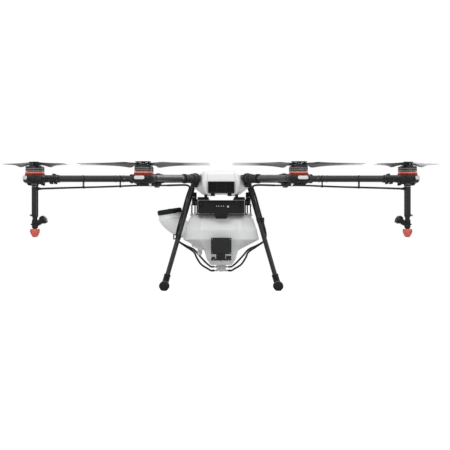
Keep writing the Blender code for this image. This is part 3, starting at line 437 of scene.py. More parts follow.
# Pale grey for the cover's trim strips and level marks, and for the painted highlight line over each foot.
TRIM_AND_HIGHLIGHT_GREY = Finish("trim_and_highlight_grey", "grey_plastic", (0.46, 0.465, 0.47), 0.35, grain=0.02, mottle=0.03,
                    wear_and_highlight=0.2,
                    wear_and_highlight_colour=(0.7, 0.7, 0.7))
# Its lighter edge colour is a painted highlight along the tank's creases.
TANK_WHITE = Finish("tank_translucent", "tank_plastic", (0.74, 0.75, 0.75), 0.40, coat=0.1, soft=0.12,
                    pattern=Pattern.FLOW, relief=0.3, contrast=0.05, grain=0.02, mottle=0.03, wear_and_highlight=0.35,
                    wear_and_highlight_colour=(0.82, 0.82, 0.82), dust=0.10)
FITTING_GREY = Finish("fitting_grey", "grey_plastic", (0.60, 0.605, 0.61), 0.42, grain=0.04, mottle=0.04,
                      wear_and_highlight=0.3,
                      wear_and_highlight_colour=(0.72, 0.72, 0.72))
BATTERY_DARK = Finish("battery_case_dark", "battery_case", (0.0075, 0.0075, 0.008), 0.48, specular=0.22,
                      grain=0.05,
                      wear_and_highlight=0.12, wear_and_highlight_colour=(0.10, 0.10, 0.105), dust=0.012)
RUBBER = Finish("foot_rubber", "rubber", (0.009, 0.009, 0.0095), 0.78, specular=0.2, grain_scale=500.0,
                grain=0.12,
                wear_and_highlight=0.1, wear_and_highlight_colour=(0.08, 0.08, 0.08), dust=0.05)
HOSE = Finish("spray_hose", "hose", (0.008, 0.008, 0.0085), 0.42, specular=0.25, grain=0.01,
              pattern=Pattern.TURNED,
              pitch=0.004, relief=0.01, contrast=0.06, wear_and_highlight=0.0, dust=0.01)
HOSE_PALE = Finish("pump_hose_pale", "hose", (0.022, 0.022, 0.023), 0.42, specular=0.3, grain=0.01, wear_and_highlight=0.0,
                   dust=0.01)
STEEL = Finish("zinc_screws", "steel", (0.30, 0.30, 0.31), 0.36, metallic=0.9, grain_scale=2500.0, grain=0.02,
               wear_and_highlight=0.2, wear_and_highlight_colour=(0.6, 0.6, 0.62), dust=0.02)
LENS = Finish("light_guide", "lens", (0.56, 0.55, 0.545), 0.34, glow=0.02, grain=0.02, mottle=0.03, wear_and_highlight=0.0)
LAMP = Finish("charge_lamp", "lens", (0.62, 0.66, 0.68), 0.25, glow=0.2, grain=0.0, mottle=0.02, wear_and_highlight=0.0)
BOARD = Finish("circuit_board_green", "circuit_board", (0.02, 0.10, 0.05), 0.35, coat=0.5,
               pattern=Pattern.RIBBED,
               pitch=0.003, relief=0.05, contrast=0.3, wear_and_highlight=0.1)


# Mesh building: a form gathers closed shapes in millimetres and becomes one piece


def along(axis: Point, origin: Point = (0, 0, 0)) -> Matrix:
    """Returns a frame whose Z axis runs along the given direction from the origin."""
    turn = Vector(axis).to_track_quat("Z", "Y").to_matrix().to_4x4()
    return Matrix.Translation(Vector(origin)) @ turn


def at(x: float = 0.0, y: float = 0.0, z: float = 0.0) -> Matrix:
    """Returns a frame moved to a point."""
    return Matrix.Translation((x, y, z))


def spun(angle: float) -> Matrix:
    """Returns a turn about Z, in degrees."""
    return Matrix.Rotation(math.radians(angle), 4, "Z")


def rounded_box(width: float, height: float, corner: float, steps: int = 4) -> list[Flat]:
    """Returns the outline of a rectangle with round corners.

    Args:
        width: Its full width.
        height: Its full height.
        corner: The corners' radius.
        steps: Straight pieces in each corner.

    Returns:
        The outline's points, anticlockwise, about the middle.
    """
    corner = min(corner, width / 2 - 0.01, height / 2 - 0.01)
    points = []
    for k, (sx, sy) in enumerate(((1, 1), (-1, 1), (-1, -1), (1, -1))):
        for n in range(steps + 1):
            angle = math.pi / 2 * (k + n / steps)
            x = sx * (width / 2 - corner) + corner * math.cos(angle)
            points.append((x, sy * (height / 2 - corner) + corner * math.sin(angle)))
    return points


def smooth_route(points: Sequence[Point], steps: int = 6) -> list[Vector]:
    """Returns a smooth curve through chosen points.

    Args:
        points: The points that the curve passes.
        steps: Pieces between two points.

    Returns:
        The curve's own points.
    """
    route = [Vector(p) for p in points]
    ends = [2 * route[0] - route[1], *route, 2 * route[-1] - route[-2]]
    curve = []
    for a, b, c, d in zip(ends, ends[1:], ends[2:], ends[3:]):
        for k in range(steps):
            t = k / steps
            bend = (2 * a - 5 * b + 4 * c - d) * t**2 + (3 * b - a - 3 * c + d) * t**3
            curve.append(0.5 * (2 * b + (c - a) * t + bend))
    return [*curve, route[-1]]


class Form:
    """Closed shapes gathered into one mesh, with a UV map in metres."""

    def __init__(self) -> None:
        """Starts empty."""
        self.bm = bmesh.new()
        self.uv = self.bm.loops.layers.uv.new("surface")

    def _skin(self, rings: Sequence[Sequence[Vector]], closed: bool, size: float) -> "Form":
        """Skins rings of points into one body.

        Args:
            rings: The rings; a ring of one point ends the body there.
            closed: Whether the last ring joins the first, as in a tube with a wall.
            size: The way round the rings in millimetres, for the UV map.

        Returns:
            The form itself.
        """
        count = max(len(ring) for ring in rings)
        rows = []
        run = [0.0]
        for low, high in zip(rings, rings[1:]):
            run.append(run[-1] + (Vector(high[0]) - Vector(low[0])).length)
        for ring in rings:
            rows.append([self.bm.verts.new(p) for p in ring] if len(ring) > 1
                        else [self.bm.verts.new(ring[0])] * count)
        pairs = list(range(len(rows) - 1)) + ([len(rows) - 1] if closed else [])
        faces = []
        for i in pairs:
            low, high = rows[i], rows[(i + 1) % len(rows)]
            rise = run[(i + 1) % len(rows)] if i + 1 < len(rows) else run[i] + 1.0
            for k in range(count):
                n = (k + 1) % count
                spots = [(low[k], k, run[i]), (low[n], k + 1, run[i]), (high[n], k + 1, rise),
                         (high[k], k, rise)]
                keep = {}
                for vert, u, v in spots:
                    keep.setdefault(vert, (u, v))
                face = self.bm.faces.new(list(keep))
                for loop in face.loops:
                    u, v = keep[loop.vert]
                    loop[self.uv].uv = (u / count * size * MM, v * MM)
                faces.append(face)
        if not closed:
            for row in (rows[0], rows[-1]):
                if row[0] is not row[1]:
                    faces.append(self._mapped(self.bm.faces.new(row)))
        bmesh.ops.recalc_face_normals(self.bm, faces=faces)
        return self

    def _mapped(self, face: bmesh.types.BMFace) -> bmesh.types.BMFace:
        """Maps a flat face by its own plane, and returns it."""
        face.normal_update()
        turn = face.normal.to_track_quat("Z", "Y").inverted()
        for loop in face.loops:
            spot = turn @ loop.vert.co
            loop[self.uv].uv = (spot.x * MM, spot.y * MM)
        return face

    def turned(self, profile: Sequence[Flat], frame: Matrix = Matrix(), sides: int = 40) -> "Form":
        """Turns (radius, height) points about the frame's Z axis. A profile off the axis is a closed loop.

        Args:
            profile: The points of the profile.
            frame: Where the piece stands.
            sides: Flats around it.

        Returns:
            The form itself.
        """
        rings = []
        for radius, height in profile:
            if radius == 0:
                rings.append([frame @ Vector((0, 0, height))])
                continue
            angles = [2 * math.pi * k / sides for k in range(sides)]
            rings.append([frame @ Vector((radius * math.cos(a), radius * math.sin(a),
                                          height)) for a in angles])
        size = 2 * math.pi * max(r for r, _ in profile)
        return self._skin(rings, profile[0][0] > 0, size)

    def rod(self, radius: float, low: float, high: float, frame: Matrix = Matrix(), sides: int = 32,
            edge: float = 0.5) -> "Form":
        """Adds a round bar with softened ends.

        Args:
            radius: Its radius.
            low: Its lower end along the frame's Z.
            high: Its upper end.
            frame: Where it stands.
            sides: Flats around it.
            edge: How much its ends are chamfered.

        Returns:
            The form itself.
        """
        e = min(edge, radius * 0.4, (high - low) * 0.4)
        profile = [(0, low), (radius - e, low), (radius, low + e), (radius, high - e), (radius - e, high),
                   (0, high)]
        return self.turned(profile, frame, sides)

    def ring(self, outer: float, inner: float, low: float, high: float, frame: Matrix = Matrix(),
             sides: int = 40,
             edge: float = 0.4) -> "Form":
        """Adds a ring or a length of tube with a wall and chamfered outer edges."""
        e = min(edge, (outer - inner) * 0.4, (high - low) * 0.4)
        profile = [(inner, low), (outer - e, low), (outer, low + e), (outer, high - e), (outer - e, high),
                   (inner, high)]
        return self.turned(profile, frame, sides)

    def prism(self, outline: Sequence[Flat], low: float, high: float, frame: Matrix = Matrix(),
              edge: float = 0.6,
              segments: int = 2) -> "Form":
        """Adds an extruded outline with rounded edges.

        Args:
            outline: Its points in the frame's XY plane.
            low: Its lower face along the frame's Z.
            high: Its upper face.
            frame: Where it stands.
            edge: The radius of its edges.
            segments: Steps across each rounded edge.

        Returns:
            The form itself.
        """
        return self.shaped([[(x, y, z) for x, y in outline] for z in (low, high)], frame, edge, segments)

    def box(self, low: Point, high: Point, frame: Matrix = Matrix(), edge: float = 0.8,
            segments: int = 2) -> "Form":
        """Adds a block between two corners with rounded edges."""
        (x0, y0, z0), (x1, y1, z1) = low, high
        return self.prism([(x0, y0), (x1, y0), (x1, y1), (x0, y1)], z0, z1, frame, edge, segments)

    def shaped(self, rings: Sequence[Sequence[Point]], frame: Matrix = Matrix(), edge: float = 0.8,
               segments: int = 2, angle: float = 20.0) -> "Form":
        """Adds a body lofted through rings, with its sharp edges rounded.

        Args:
            rings: Rings of the same number of points.
            frame: Where the body stands.
            edge: The radius of its edges.
            segments: Steps across each rounded edge.
            angle: Edges that turn by more than this many degrees are rounded.

        Returns:
            The form itself.
        """
        part = Form()
        part._skin([[frame @ Vector(p) for p in ring] for ring in rings], False, 100.0)
        if edge:
            sharp = [e for e in part.bm.edges
                     if len(e.link_faces) == 2 and e.calc_face_angle() > math.radians(angle)]
            bmesh.ops.bevel(part.bm, geom=sharp, offset=edge, segments=segments, profile=0.5, affect="EDGES",
                            clamp_overlap=True)
        for face in part.bm.faces:
            part._mapped(face)
        return self.add(part)

    def sweep(self, points: Sequence[Point], radius: float | Sequence[float], sides: int = 16) -> "Form":
        """Adds a round hose or wire along points, its section carried along without twist.

        Args:
            points: The middle line.
            radius: One radius, or one for each point.
            sides: Flats around it.

        Returns:
            The form itself.
        """
        points = [Vector(p) for p in points]
        sizes = [radius] * len(points) if isinstance(radius, (int, float)) else list(radius)
        rings = []
        side = None
        for k, point in enumerate(points):
            ahead = (points[min(k + 1, len(points) - 1)] - points[max(k - 1, 0)]).normalized()
            side = ahead.orthogonal() if side is None else side
            side = (side - ahead * side.dot(ahead)).normalized()
            up = ahead.cross(side)
            angles = [2 * math.pi * n / sides for n in range(sides)]
            rings.append([point + sizes[k] * (math.cos(a) * side + math.sin(a) * up) for a in angles])
        return self._skin(rings, False, 2 * math.pi * max(sizes))

    def screw(self, frame: Matrix, radius: float = 2.6, height: float = 2.0) -> "Form":
        """Adds a button-head screw with a hexagon socket, standing on the frame's origin."""
        socket = radius * 0.45
        profile = [(0, -0.3), (radius, -0.3), (radius, height * 0.45), (radius * 0.8, height),
                   (socket, height),
                   (socket, height * 0.35), (0, height * 0.35)]
        return self.turned(profile, frame, 18)

    def add(self, other: "Form", frame: Matrix = Matrix()) -> "Form":
        """Adds another form's shapes, and empties it."""
        mesh = bpy.data.meshes.new("part")
        other.bm.to_mesh(mesh)
        other.bm.free()
        mesh.transform(frame)
        self.bm.from_mesh(mesh)
        bpy.data.meshes.remove(mesh)
        return self

    def mesh(self, name: str, frame: Matrix = Matrix(), sharp: float = 38.0) -> bpy.types.Mesh:
        """Turns the form into a mesh in metres.

        Args:
            name: The mesh's name.
            frame: Where the form's origin stands, in millimetres.
            sharp: Edges over this many degrees stay sharp.

        Returns:
            The mesh.
        """
        mesh = bpy.data.meshes.new(name)
        self.bm.to_mesh(mesh)
        self.bm.free()
        mesh.transform(Matrix.Scale(MM, 4) @ frame)
        mesh.shade_smooth()
        mesh.set_sharp_from_angle(angle=math.radians(sharp))
        return mesh


def carved(base: bpy.types.Mesh, unions: Iterable[bpy.types.Mesh], cuts: Iterable[bpy.types.Mesh],
           sharp: float = 30.0) -> bpy.types.Mesh:
    """Joins meshes to a base and then takes others away.

    Args:
        base: The mesh to work on.
        unions: Meshes joined to it.
        cuts: Meshes taken away from it.
        sharp: Edges over this many degrees stay sharp.

    Returns:
        The carved mesh.
    """
    helpers = [bpy.data.objects.new("carving", base)]
    for operation, meshes in (("UNION", unions), ("DIFFERENCE", cuts)):
        for mesh in meshes:
            helper = bpy.data.objects.new("carver", mesh)
            modifier = helpers[0].modifiers.new(operation, "BOOLEAN")
            modifier.operation = operation
            modifier.solver = "MANIFOLD"
            modifier.object = helper
            helpers.append(helper)
    for helper in helpers:
        bpy.context.scene.collection.objects.link(helper)
    bpy.context.view_layer.update()
    graph = bpy.context.evaluated_depsgraph_get()
    result = bpy.data.meshes.new_from_object(helpers[0].evaluated_get(graph))
    for helper in helpers:
        bpy.data.objects.remove(helper)
    result.name = base.name
    result.shade_smooth()
    result.set_sharp_from_angle(angle=math.radians(sharp))
    return result


def piece(name: str, mesh: bpy.types.Mesh, finish: Finish, body: str | None, frame: Matrix = Matrix(),
          replaces: Sequence[str] = (), weighted: bool = False) -> bpy.types.Object:
    """Places a mesh as a named piece that moves with a body.

    Args:
        name: The piece's name.
        mesh: Its mesh, which other pieces may share.
        finish: Its finish.
        body: The body it rides on, or None to leave it unattached.
        frame: Where its origin stands, in metres.
        replaces: The solid nodes that it stands for.
        weighted: Whether its large faces set the shading, which keeps panels flat beside rounded edges.

    Returns:
        The placed object.
    """
    obj = bpy.data.objects.new(name, mesh)
    obj.matrix_world = frame
    bpy.context.scene.collection.objects.link(obj)
    material = finish.material()
    if not mesh.materials:
        mesh.materials.append(material)
    if mesh.materials[0] is not material:
        obj.material_slots[0].link = "OBJECT"
        obj.material_slots[0].material = material
    if weighted:
        modifier = obj.modifiers.new("flat_panels", "WEIGHTED_NORMAL")
        modifier.keep_sharp = True
        modifier.weight = 100
    if body is not None:
        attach(obj, body)
    if replaces:
        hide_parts(*replaces)
    LOG.info("placed %s", name)
    return obj


Parts = list[tuple[str, bpy.types.Mesh, Finish]]


def place_all(parts: Parts, suffix: str, body: str, frame: Matrix, replaces: Sequence[str] = ()) -> None:
    """Places a set of meshes on one body; the first of them stands for the solid nodes.

    Args:
        parts: The name, mesh and finish of each piece.
        suffix: Added to each name.
        body: The body they ride on.
        frame: Where they stand, in metres.
        replaces: The solid nodes that the first piece replaces.
    """
    for order, (name, mesh, finish) in enumerate(parts):
        piece(name + suffix, mesh, finish, body, frame, replaces if order == 0 else ())


FRONT = Matrix(((1, 0, 0, 0), (0, 0, -1, 0), (0, 1, 0, 0), (0, 0, 0, 1)))


@dataclass
class Layout:
    """Where the frame's joints stand, in metres."""

    joints: dict[str, dict] = field(default_factory=dict)
    numbers: range = range(1, 9)
    sprayers: tuple[int, ...] = (3, 4, 7, 8)

    def spot(self, joint: str) -> Vector:
        """Returns a joint's position."""
        return Vector(self.joints[joint]["pos_m"])

    def heading(self, number: int) -> float:
        """Returns an arm's direction in plan, in degrees."""
        place = self.spot(f"arm_fold_{number}")
        return math.degrees(math.atan2(place.y, place.x))

    def arm_frame(self, number: int) -> Matrix:
        """Returns the frame at an arm's fold pivot, with X running outwards."""
        return Matrix.Translation(self.spot(f"arm_fold_{number}")) @ spun(self.heading(number))

    def reach(self) -> float:
        """Returns the distance from the fold pivot to the motor's axis, in millimetres."""
        gap = self.spot("rotor_spin_1").xy - self.spot("arm_fold_1").xy
        return gap.length / MM

    def blade_line(self, number: int) -> float:
        """Returns the direction from the motor's axis to blade a's pivot, in degrees."""
        gap = self.spot(f"blade_fold_{number}a") - self.spot(f"rotor_spin_{number}")
        return math.degrees(math.atan2(gap.y, gap.x))

    def motor_frame(self, number: int, turn: float) -> Matrix:
        """Returns the frame on a motor's axis at the height of the arm's tube, turned in plan."""
        place = self.spot(f"rotor_spin_{number}")
        place.z = ArmSizes.axis * MM
        return Matrix.Translation(place) @ spun(turn)

    @staticmethod
    def hose_side(number: int) -> int:
        """Returns the side of the arm on which its hose leaves, +1 or -1."""
        return 1 if number % 2 else -1


@dataclass(frozen=True)
class ArmSizes:
    """Sizes that the arms, motors and nozzles share, in millimetres."""

    axis: float = 422.0
    drop: float = 27.5
    tube: float = 12.0
    root: float = 15.0
    ferrule_end: float = 34.0
    sleeve_end: float = 107.0
    pod_length: float = 38.0
    pod_width: float = 45.0


@dataclass
class FoldingArms:
    """The eight root joints and folding arms, with their locking sleeves and screws."""

    layout: Layout
    size: ArmSizes = ArmSizes()
    ear_start: float = 8.6
    ear_end: float = 13.6
    knuckle: float = 6.0

    def tube_frame(self) -> Matrix:
        """Returns the frame along the tube, from above the fold pivot."""
        return at(0, 0, self.size.drop) @ Matrix.Rotation(math.pi / 2, 4, "Y")

    def collar(self) -> Form:
        """Returns the tapered collar with its two ears, as cast."""
        form = Form()
        profile = [(15.1, -27), (16.2, -27), (17.0, -21), (20.2, -12), (20.5, -11), (20.5, -7.2),
                   (19.7, -6.6),
                   (19.7, -5.4), (20.5, -4.8), (20.5, -1), (19.9, -0.3), (15.1, -0.3)]
        form.turned(profile, self.tube_frame(), 48)
        across = along((0, 1, 0))
        for side in (-1, 1):
            low, high = sorted((side * self.ear_start, side * self.ear_end))
            form.rod(self.knuckle, low, high, across, 28)
            outline = [(-12, 0), (-0.4, 0), (4.6, 3.6), (-0.4, 12.5), (-12, 12.5)]
            form.prism(outline, low, high, Matrix.Rotation(math.pi / 2, 4, "X"), 0.7)
        return form

    def fastenings(self) -> Form:
        """Returns the fold pin with its head and nut, and the collar's clamping screws."""
        form = Form()
        across = along((0, 1, 0))
        form.rod(2.3, -15.5, 15.5, across, 16)
        form.turned([(0, 13.7), (4.2, 13.7), (4.2, 16.4), (3.6, 17.0), (0, 17.0)], across, 6)
        form.screw(along((0, -1, 0), (0, -13.6, 0)), 3.8, 2.6)
        for turn in (40, 140, 220, 320):
            form.screw(self.tube_frame() @ spun(turn) @ at(19.4, 0, -9) @ along((1, 0, 0)), 1.9, 1.2)
        return form

    def ferrule(self) -> Form:
        """Returns the folding ferrule with the lug that turns between the ears."""
        form = Form()
        profile = [(12.1, 0.3), (17.6, 0.3), (18.3, 1.2), (18.3, 7), (17.2, 8), (17.2, 11), (18.0, 12),
                   (18.0, 28),
                   (16.8, 31), (15.6, 34), (12.1, 34)]
        form.turned(profile, self.tube_frame(), 48)
        form.rod(self.knuckle, -8, 8, along((0, 1, 0)), 28)
        outline = [(0.3, 0), (5.2, -3.0), (12.0, 6), (13.5, 11.5), (0.3, 11.5)]
        form.prism(outline, -8, 8, Matrix.Rotation(math.pi / 2, 4, "X"), 0.8)
        for turn in (0, 90, 180, 270):
            form.prism(rounded_box(12, 6, 2), 16.8, 18.9, self.tube_frame() @ spun(turn + 45) @ at(0, 0, 20)
                       @ Matrix.Rotation(math.pi / 2, 4, "Y"), 0.6)
        return form

    def sleeve(self) -> Form:
        """Returns the screwed locking sleeve with its grip ribs and lip."""
        form = Form()
        start, end = self.size.ferrule_end, self.size.sleeve_end
        profile = [(12.1, start), (14.6, start), (15.4, start + 2), (15.4, start + 7), (14.4, start + 8),
                   (14.4, start + 40), (15.0, start + 42), (15.0, end - 9), (16.6, end - 8), (17.0, end - 7),
                   (17.0, end - 1), (16.2, end), (12.1, end)]
        form.turned(profile, self.tube_frame(), 48)
        for k in range(18):
            rib = self.tube_frame() @ spun(20 * k)
            form.prism(rounded_box(1.8, 1.6, 0.5, 2), start + 9, start + 38, rib @ at(14.6, 0, 0), 0.3, 1)
        return form

    def latch(self) -> Form:
        """Returns the sprung latch button and the ring that keeps the sleeve locked."""
        form = Form()
        start = self.size.ferrule_end
        form.ring(15.9, 14.2, start + 44, start + 49, self.tube_frame(), 40)
        form.prism(rounded_box(11, 7, 3), 14.0, 17.2, self.tube_frame() @ at(0, 0, start + 56)
                   @ Matrix.Rotation(-math.pi / 2, 4, "Y"), 0.8)
        return form

    def tube(self, reach: float) -> Form:
        """Returns the woven carbon tube."""
        end = reach - self.size.pod_length - 2
        return Form().ring(self.size.tube, 10.5, self.size.sleeve_end - 20, end, self.tube_frame(), 48, 0.2)

    def tube_screws(self) -> Form:
        """Returns the small screws that hold the hose guides and wiring inside the tube."""
        form = Form()
        for run, turns in ((137, (0, 90, 180, 270)), (169, (0, 180))):
            for turn in turns:
                spot = self.tube_frame() @ spun(turn) @ at(self.size.tube - 0.3, 0, run) @ along((1, 0, 0))
                form.screw(spot, 2.4, 1.9)
        return form

    def build(self) -> None:
        """Places every arm and root joint."""
        reach = self.layout.reach()
        fixed: Parts = [
            ("fold_collar", self.collar().mesh("fold_collar"), BLACK_CAST),
            ("fold_pin", self.fastenings().mesh("fold_pin"), STEEL),
            ("root_tube", Form().ring(15.0, 13.5, -192, -0.6, self.tube_frame(), 48, 0.2).mesh("root_tube"),
             CARBON),
        ]
        moving: Parts = [
            ("arm_tube", self.tube(reach).mesh("arm_tube"), CARBON),
            ("fold_ferrule", self.ferrule().mesh("fold_ferrule"), BLACK_CAST),
            ("locking_sleeve", self.sleeve().mesh("locking_sleeve"), BLACK_MOULDED),
            ("sleeve_latch", self.latch().mesh("sleeve_latch"), BLACK_MOULDED),
            ("tube_screws", self.tube_screws().mesh("tube_screws"), STEEL),
        ]
        for number in self.layout.numbers:
            frame = self.layout.arm_frame(number)
            place_all(fixed, f"_{number}", "airframe", frame)
            place_all(moving, f"_{number}", f"arm_{number}", frame, (f"frame_arm_{number}",))


@dataclass
class MotorPods:
    """The eight pods with their tube clamps, lamps, motor bases and windings."""

    layout: Layout
    size: ArmSizes = ArmSizes()
    low: float = -17.0
    high: float = 10.5
    base_top: float = 26.3
    vents: int = 22

    def oval(self, shrink: float, height: float, power: float = 2.6) -> list[Point]:
        """Returns a ring of the pod's plan at one height, drawn in by some millimetres."""
        ring = []
        for k in range(48):
            c, s = math.cos(2 * math.pi * k / 48), math.sin(2 * math.pi * k / 48)
            x = math.copysign(abs(c) ** (2 / power), c) * (self.size.pod_length - shrink)
            y = math.copysign(abs(s) ** (2 / power), s) * (self.size.pod_width - shrink)
            ring.append((x, y, height))
        return ring

    def tray(self) -> Form:
        """Returns the lower tray with cooling fins below and three feet."""
        form = Form()
        form.shaped([self.oval(9, self.low), self.oval(2.5, self.low + 4), self.oval(0, self.low + 9),
                     self.oval(0, -1.5)], edge=0.8, segments=2, angle=25)
        for y in range(-24, 25, 6):
            form.box((-26, y - 1.0, self.low - 3.2), (20, y + 1.0, self.low + 1), edge=0.5, segments=1)
        for x, y in ((22, 0), (-20, -31), (-20, 31)):
            form.rod(4.2, self.low - 8.5, self.low + 2, at(x, y), 24, 1.2)
        return form

    def cover(self) -> Form:
        """Returns the pod's upper cover with a raised ring under the motor."""
        form = Form()
        form.shaped([self.oval(0.6, -0.9), self.oval(0.4, self.high - 5), self.oval(4.5, self.high)],
                    edge=0.9,
                    segments=3, angle=20)
        form.ring(36.6, 30, self.high - 0.5, self.high + 1.2, sides=48)
        for y in (-36, 36):
            form.prism(rounded_box(20, 3, 1.4), -6, 4, at(0, y * 1.22, 0), 0.6)
        return form

    def clamp(self, upper: bool) -> Form:
        """Returns one half of the clamp that grips the tube.

        Args:
            upper: Whether it is the upper half.

        Returns:
            The half's form.
        """
        form = Form()
        start, end = -self.size.pod_length - 56, -self.size.pod_length + 5
        across = Matrix.Rotation(math.pi / 2, 4, "Y")
        sign = 1 if upper else -1
        outline = [(-sign * 0.4, -17), (-sign * 0.4, 17), (-sign * 6.5, 16.6), (-sign * 13.2, 9.5),
                   (-sign * 13.2, -9.5), (-sign * 6.5, -16.6)]
        form.prism(outline, start, end, across, 1.4, 3)
        form.prism(outline, start - 3, start + 4, across @ Matrix.Diagonal((1.06, 1.04, 1, 1)), 0.8)
        if upper:
            form.rod(5.2, 12, 19, at(start + 15, 0), 28, 1.2)
        else:
            for run in (start + 10, start + 27):
                form.rod(4.4, -20, -12, at(run, 0), 24, 1.0)
        for run in (start + 8, start + 42):
            for y in (-13.6, 13.6):
                form.rod(3.4, min(0, sign * 8.6), max(0, sign * 8.6), at(run, y), 20, 0.6)
        return form

    def screws(self) -> Form:
        """Returns the clamp's screws and the cover's."""
        form = Form()
        start = -self.size.pod_length - 56
        for run in (start + 8, start + 42):
            for y in (-13.6, 13.6):
                form.screw(at(run, y, 8.4), 2.4, 1.6)
                form.screw(at(run, y, -8.4) @ Matrix.Rotation(math.pi, 4, "X"), 2.4, 1.6)
        for x, y in ((27, 22), (27, -22), (-27, 24), (-27, -24)):
            form.screw(at(x, y, self.high - 2.4), 2.0, 1.6)
        return form

    def lamp(self) -> Form:
        """Returns the stadium-shaped lamp on the pod's outer end."""
        face = at(self.size.pod_length - 2.2, 0, 2.8) @ along((1, 0, 0.10))
        return Form().prism(rounded_box(42, 13.5, 6.6, 8), 0, 3.4, face, 1.2, 3)

    def lamp_rim(self) -> Form:
        """Returns the dark rim that frames the lamp."""
        face = at(self.size.pod_length - 3.0, 0, 2.8) @ along((1, 0, 0.10))
        return Form().prism(rounded_box(46, 17, 8, 8), 0, 2.6, face, 1.0, 2)

    def vent_band(self) -> Form:
        """Returns the perforated band of the motor base: two rims and the bars between them."""
        form = Form()
        low = self.high
        form.ring(35.4, 29, low - 0.2, low + 1.8, sides=64)
        form.ring(34.6, 29, low + 7.2, low + 9.0, sides=64)
        for k in range(self.vents):
            form.prism(rounded_box(4.6, 3.9, 1.0, 2), low + 1.5, low + 7.6,
                       spun(360 * k / self.vents) @ at(32.2, 0), 0.4, 1)
        return form

    def light_band(self) -> Form:
        """Returns the bright band of the motor base above the vents."""
        low = self.high + 8.8
        profile = [(28, low), (32.2, low), (33.2, low + 1), (33.2, self.base_top - 1.4),
                   (32.4, self.base_top - 0.4),
                   (28, self.base_top - 0.4)]
        return Form().turned(profile, sides=64)

    def windings(self) -> Form:
        """Returns the stator's wound teeth inside the bell, around the bearing tube."""
        form = Form()
        form.ring(9, 4.8, self.high, 40, sides=32)
        form.ring(30, 8, self.high + 0.5, self.high + 7.5, sides=48)
        for k in range(12):
            form.prism(rounded_box(15, 5.2, 1.6, 2), self.base_top - 12, 40, spun(30 * k) @ at(18.5, 0),
                       1.0, 1)
        return form

    def build(self) -> None:
        """Places the pods on their arms."""
        parts: Parts = [
            ("pod_tray", self.tray().mesh("pod_tray"), BLACK_MOULDED),
            # The pod cover and the clamp's upper half take the lighter copy of the black plastic, a painted
            # highlight on the pod's top; the tray and the lower half stay black.
            ("pod_cover", self.cover().mesh("pod_cover"), LIGHTER_BLACK_PLASTIC),
            ("tube_clamp_lower", self.clamp(False).mesh("tube_clamp_lower"), BLACK_CAST),
            ("tube_clamp_upper", self.clamp(True).mesh("tube_clamp_upper"), LIGHTER_BLACK_PLASTIC),
            ("pod_screws", self.screws().mesh("pod_screws"), STEEL),
            ("pod_lamp", self.lamp().mesh("pod_lamp"), LENS),
            ("lamp_rim", self.lamp_rim().mesh("lamp_rim"), BLACK_GLOSS),
            ("motor_vent_band", self.vent_band().mesh("motor_vent_band"), ORANGE_DARK),
            ("motor_light_band", self.light_band().mesh("motor_light_band"), ORANGE),
            ("stator_windings", self.windings().mesh("stator_windings"), COPPER),
        ]
        for number in self.layout.numbers:
            frame = self.layout.motor_frame(number, self.layout.heading(number))
            place_all(parts, f"_{number}", f"arm_{number}", frame, (f"motor_pod_{number}",))


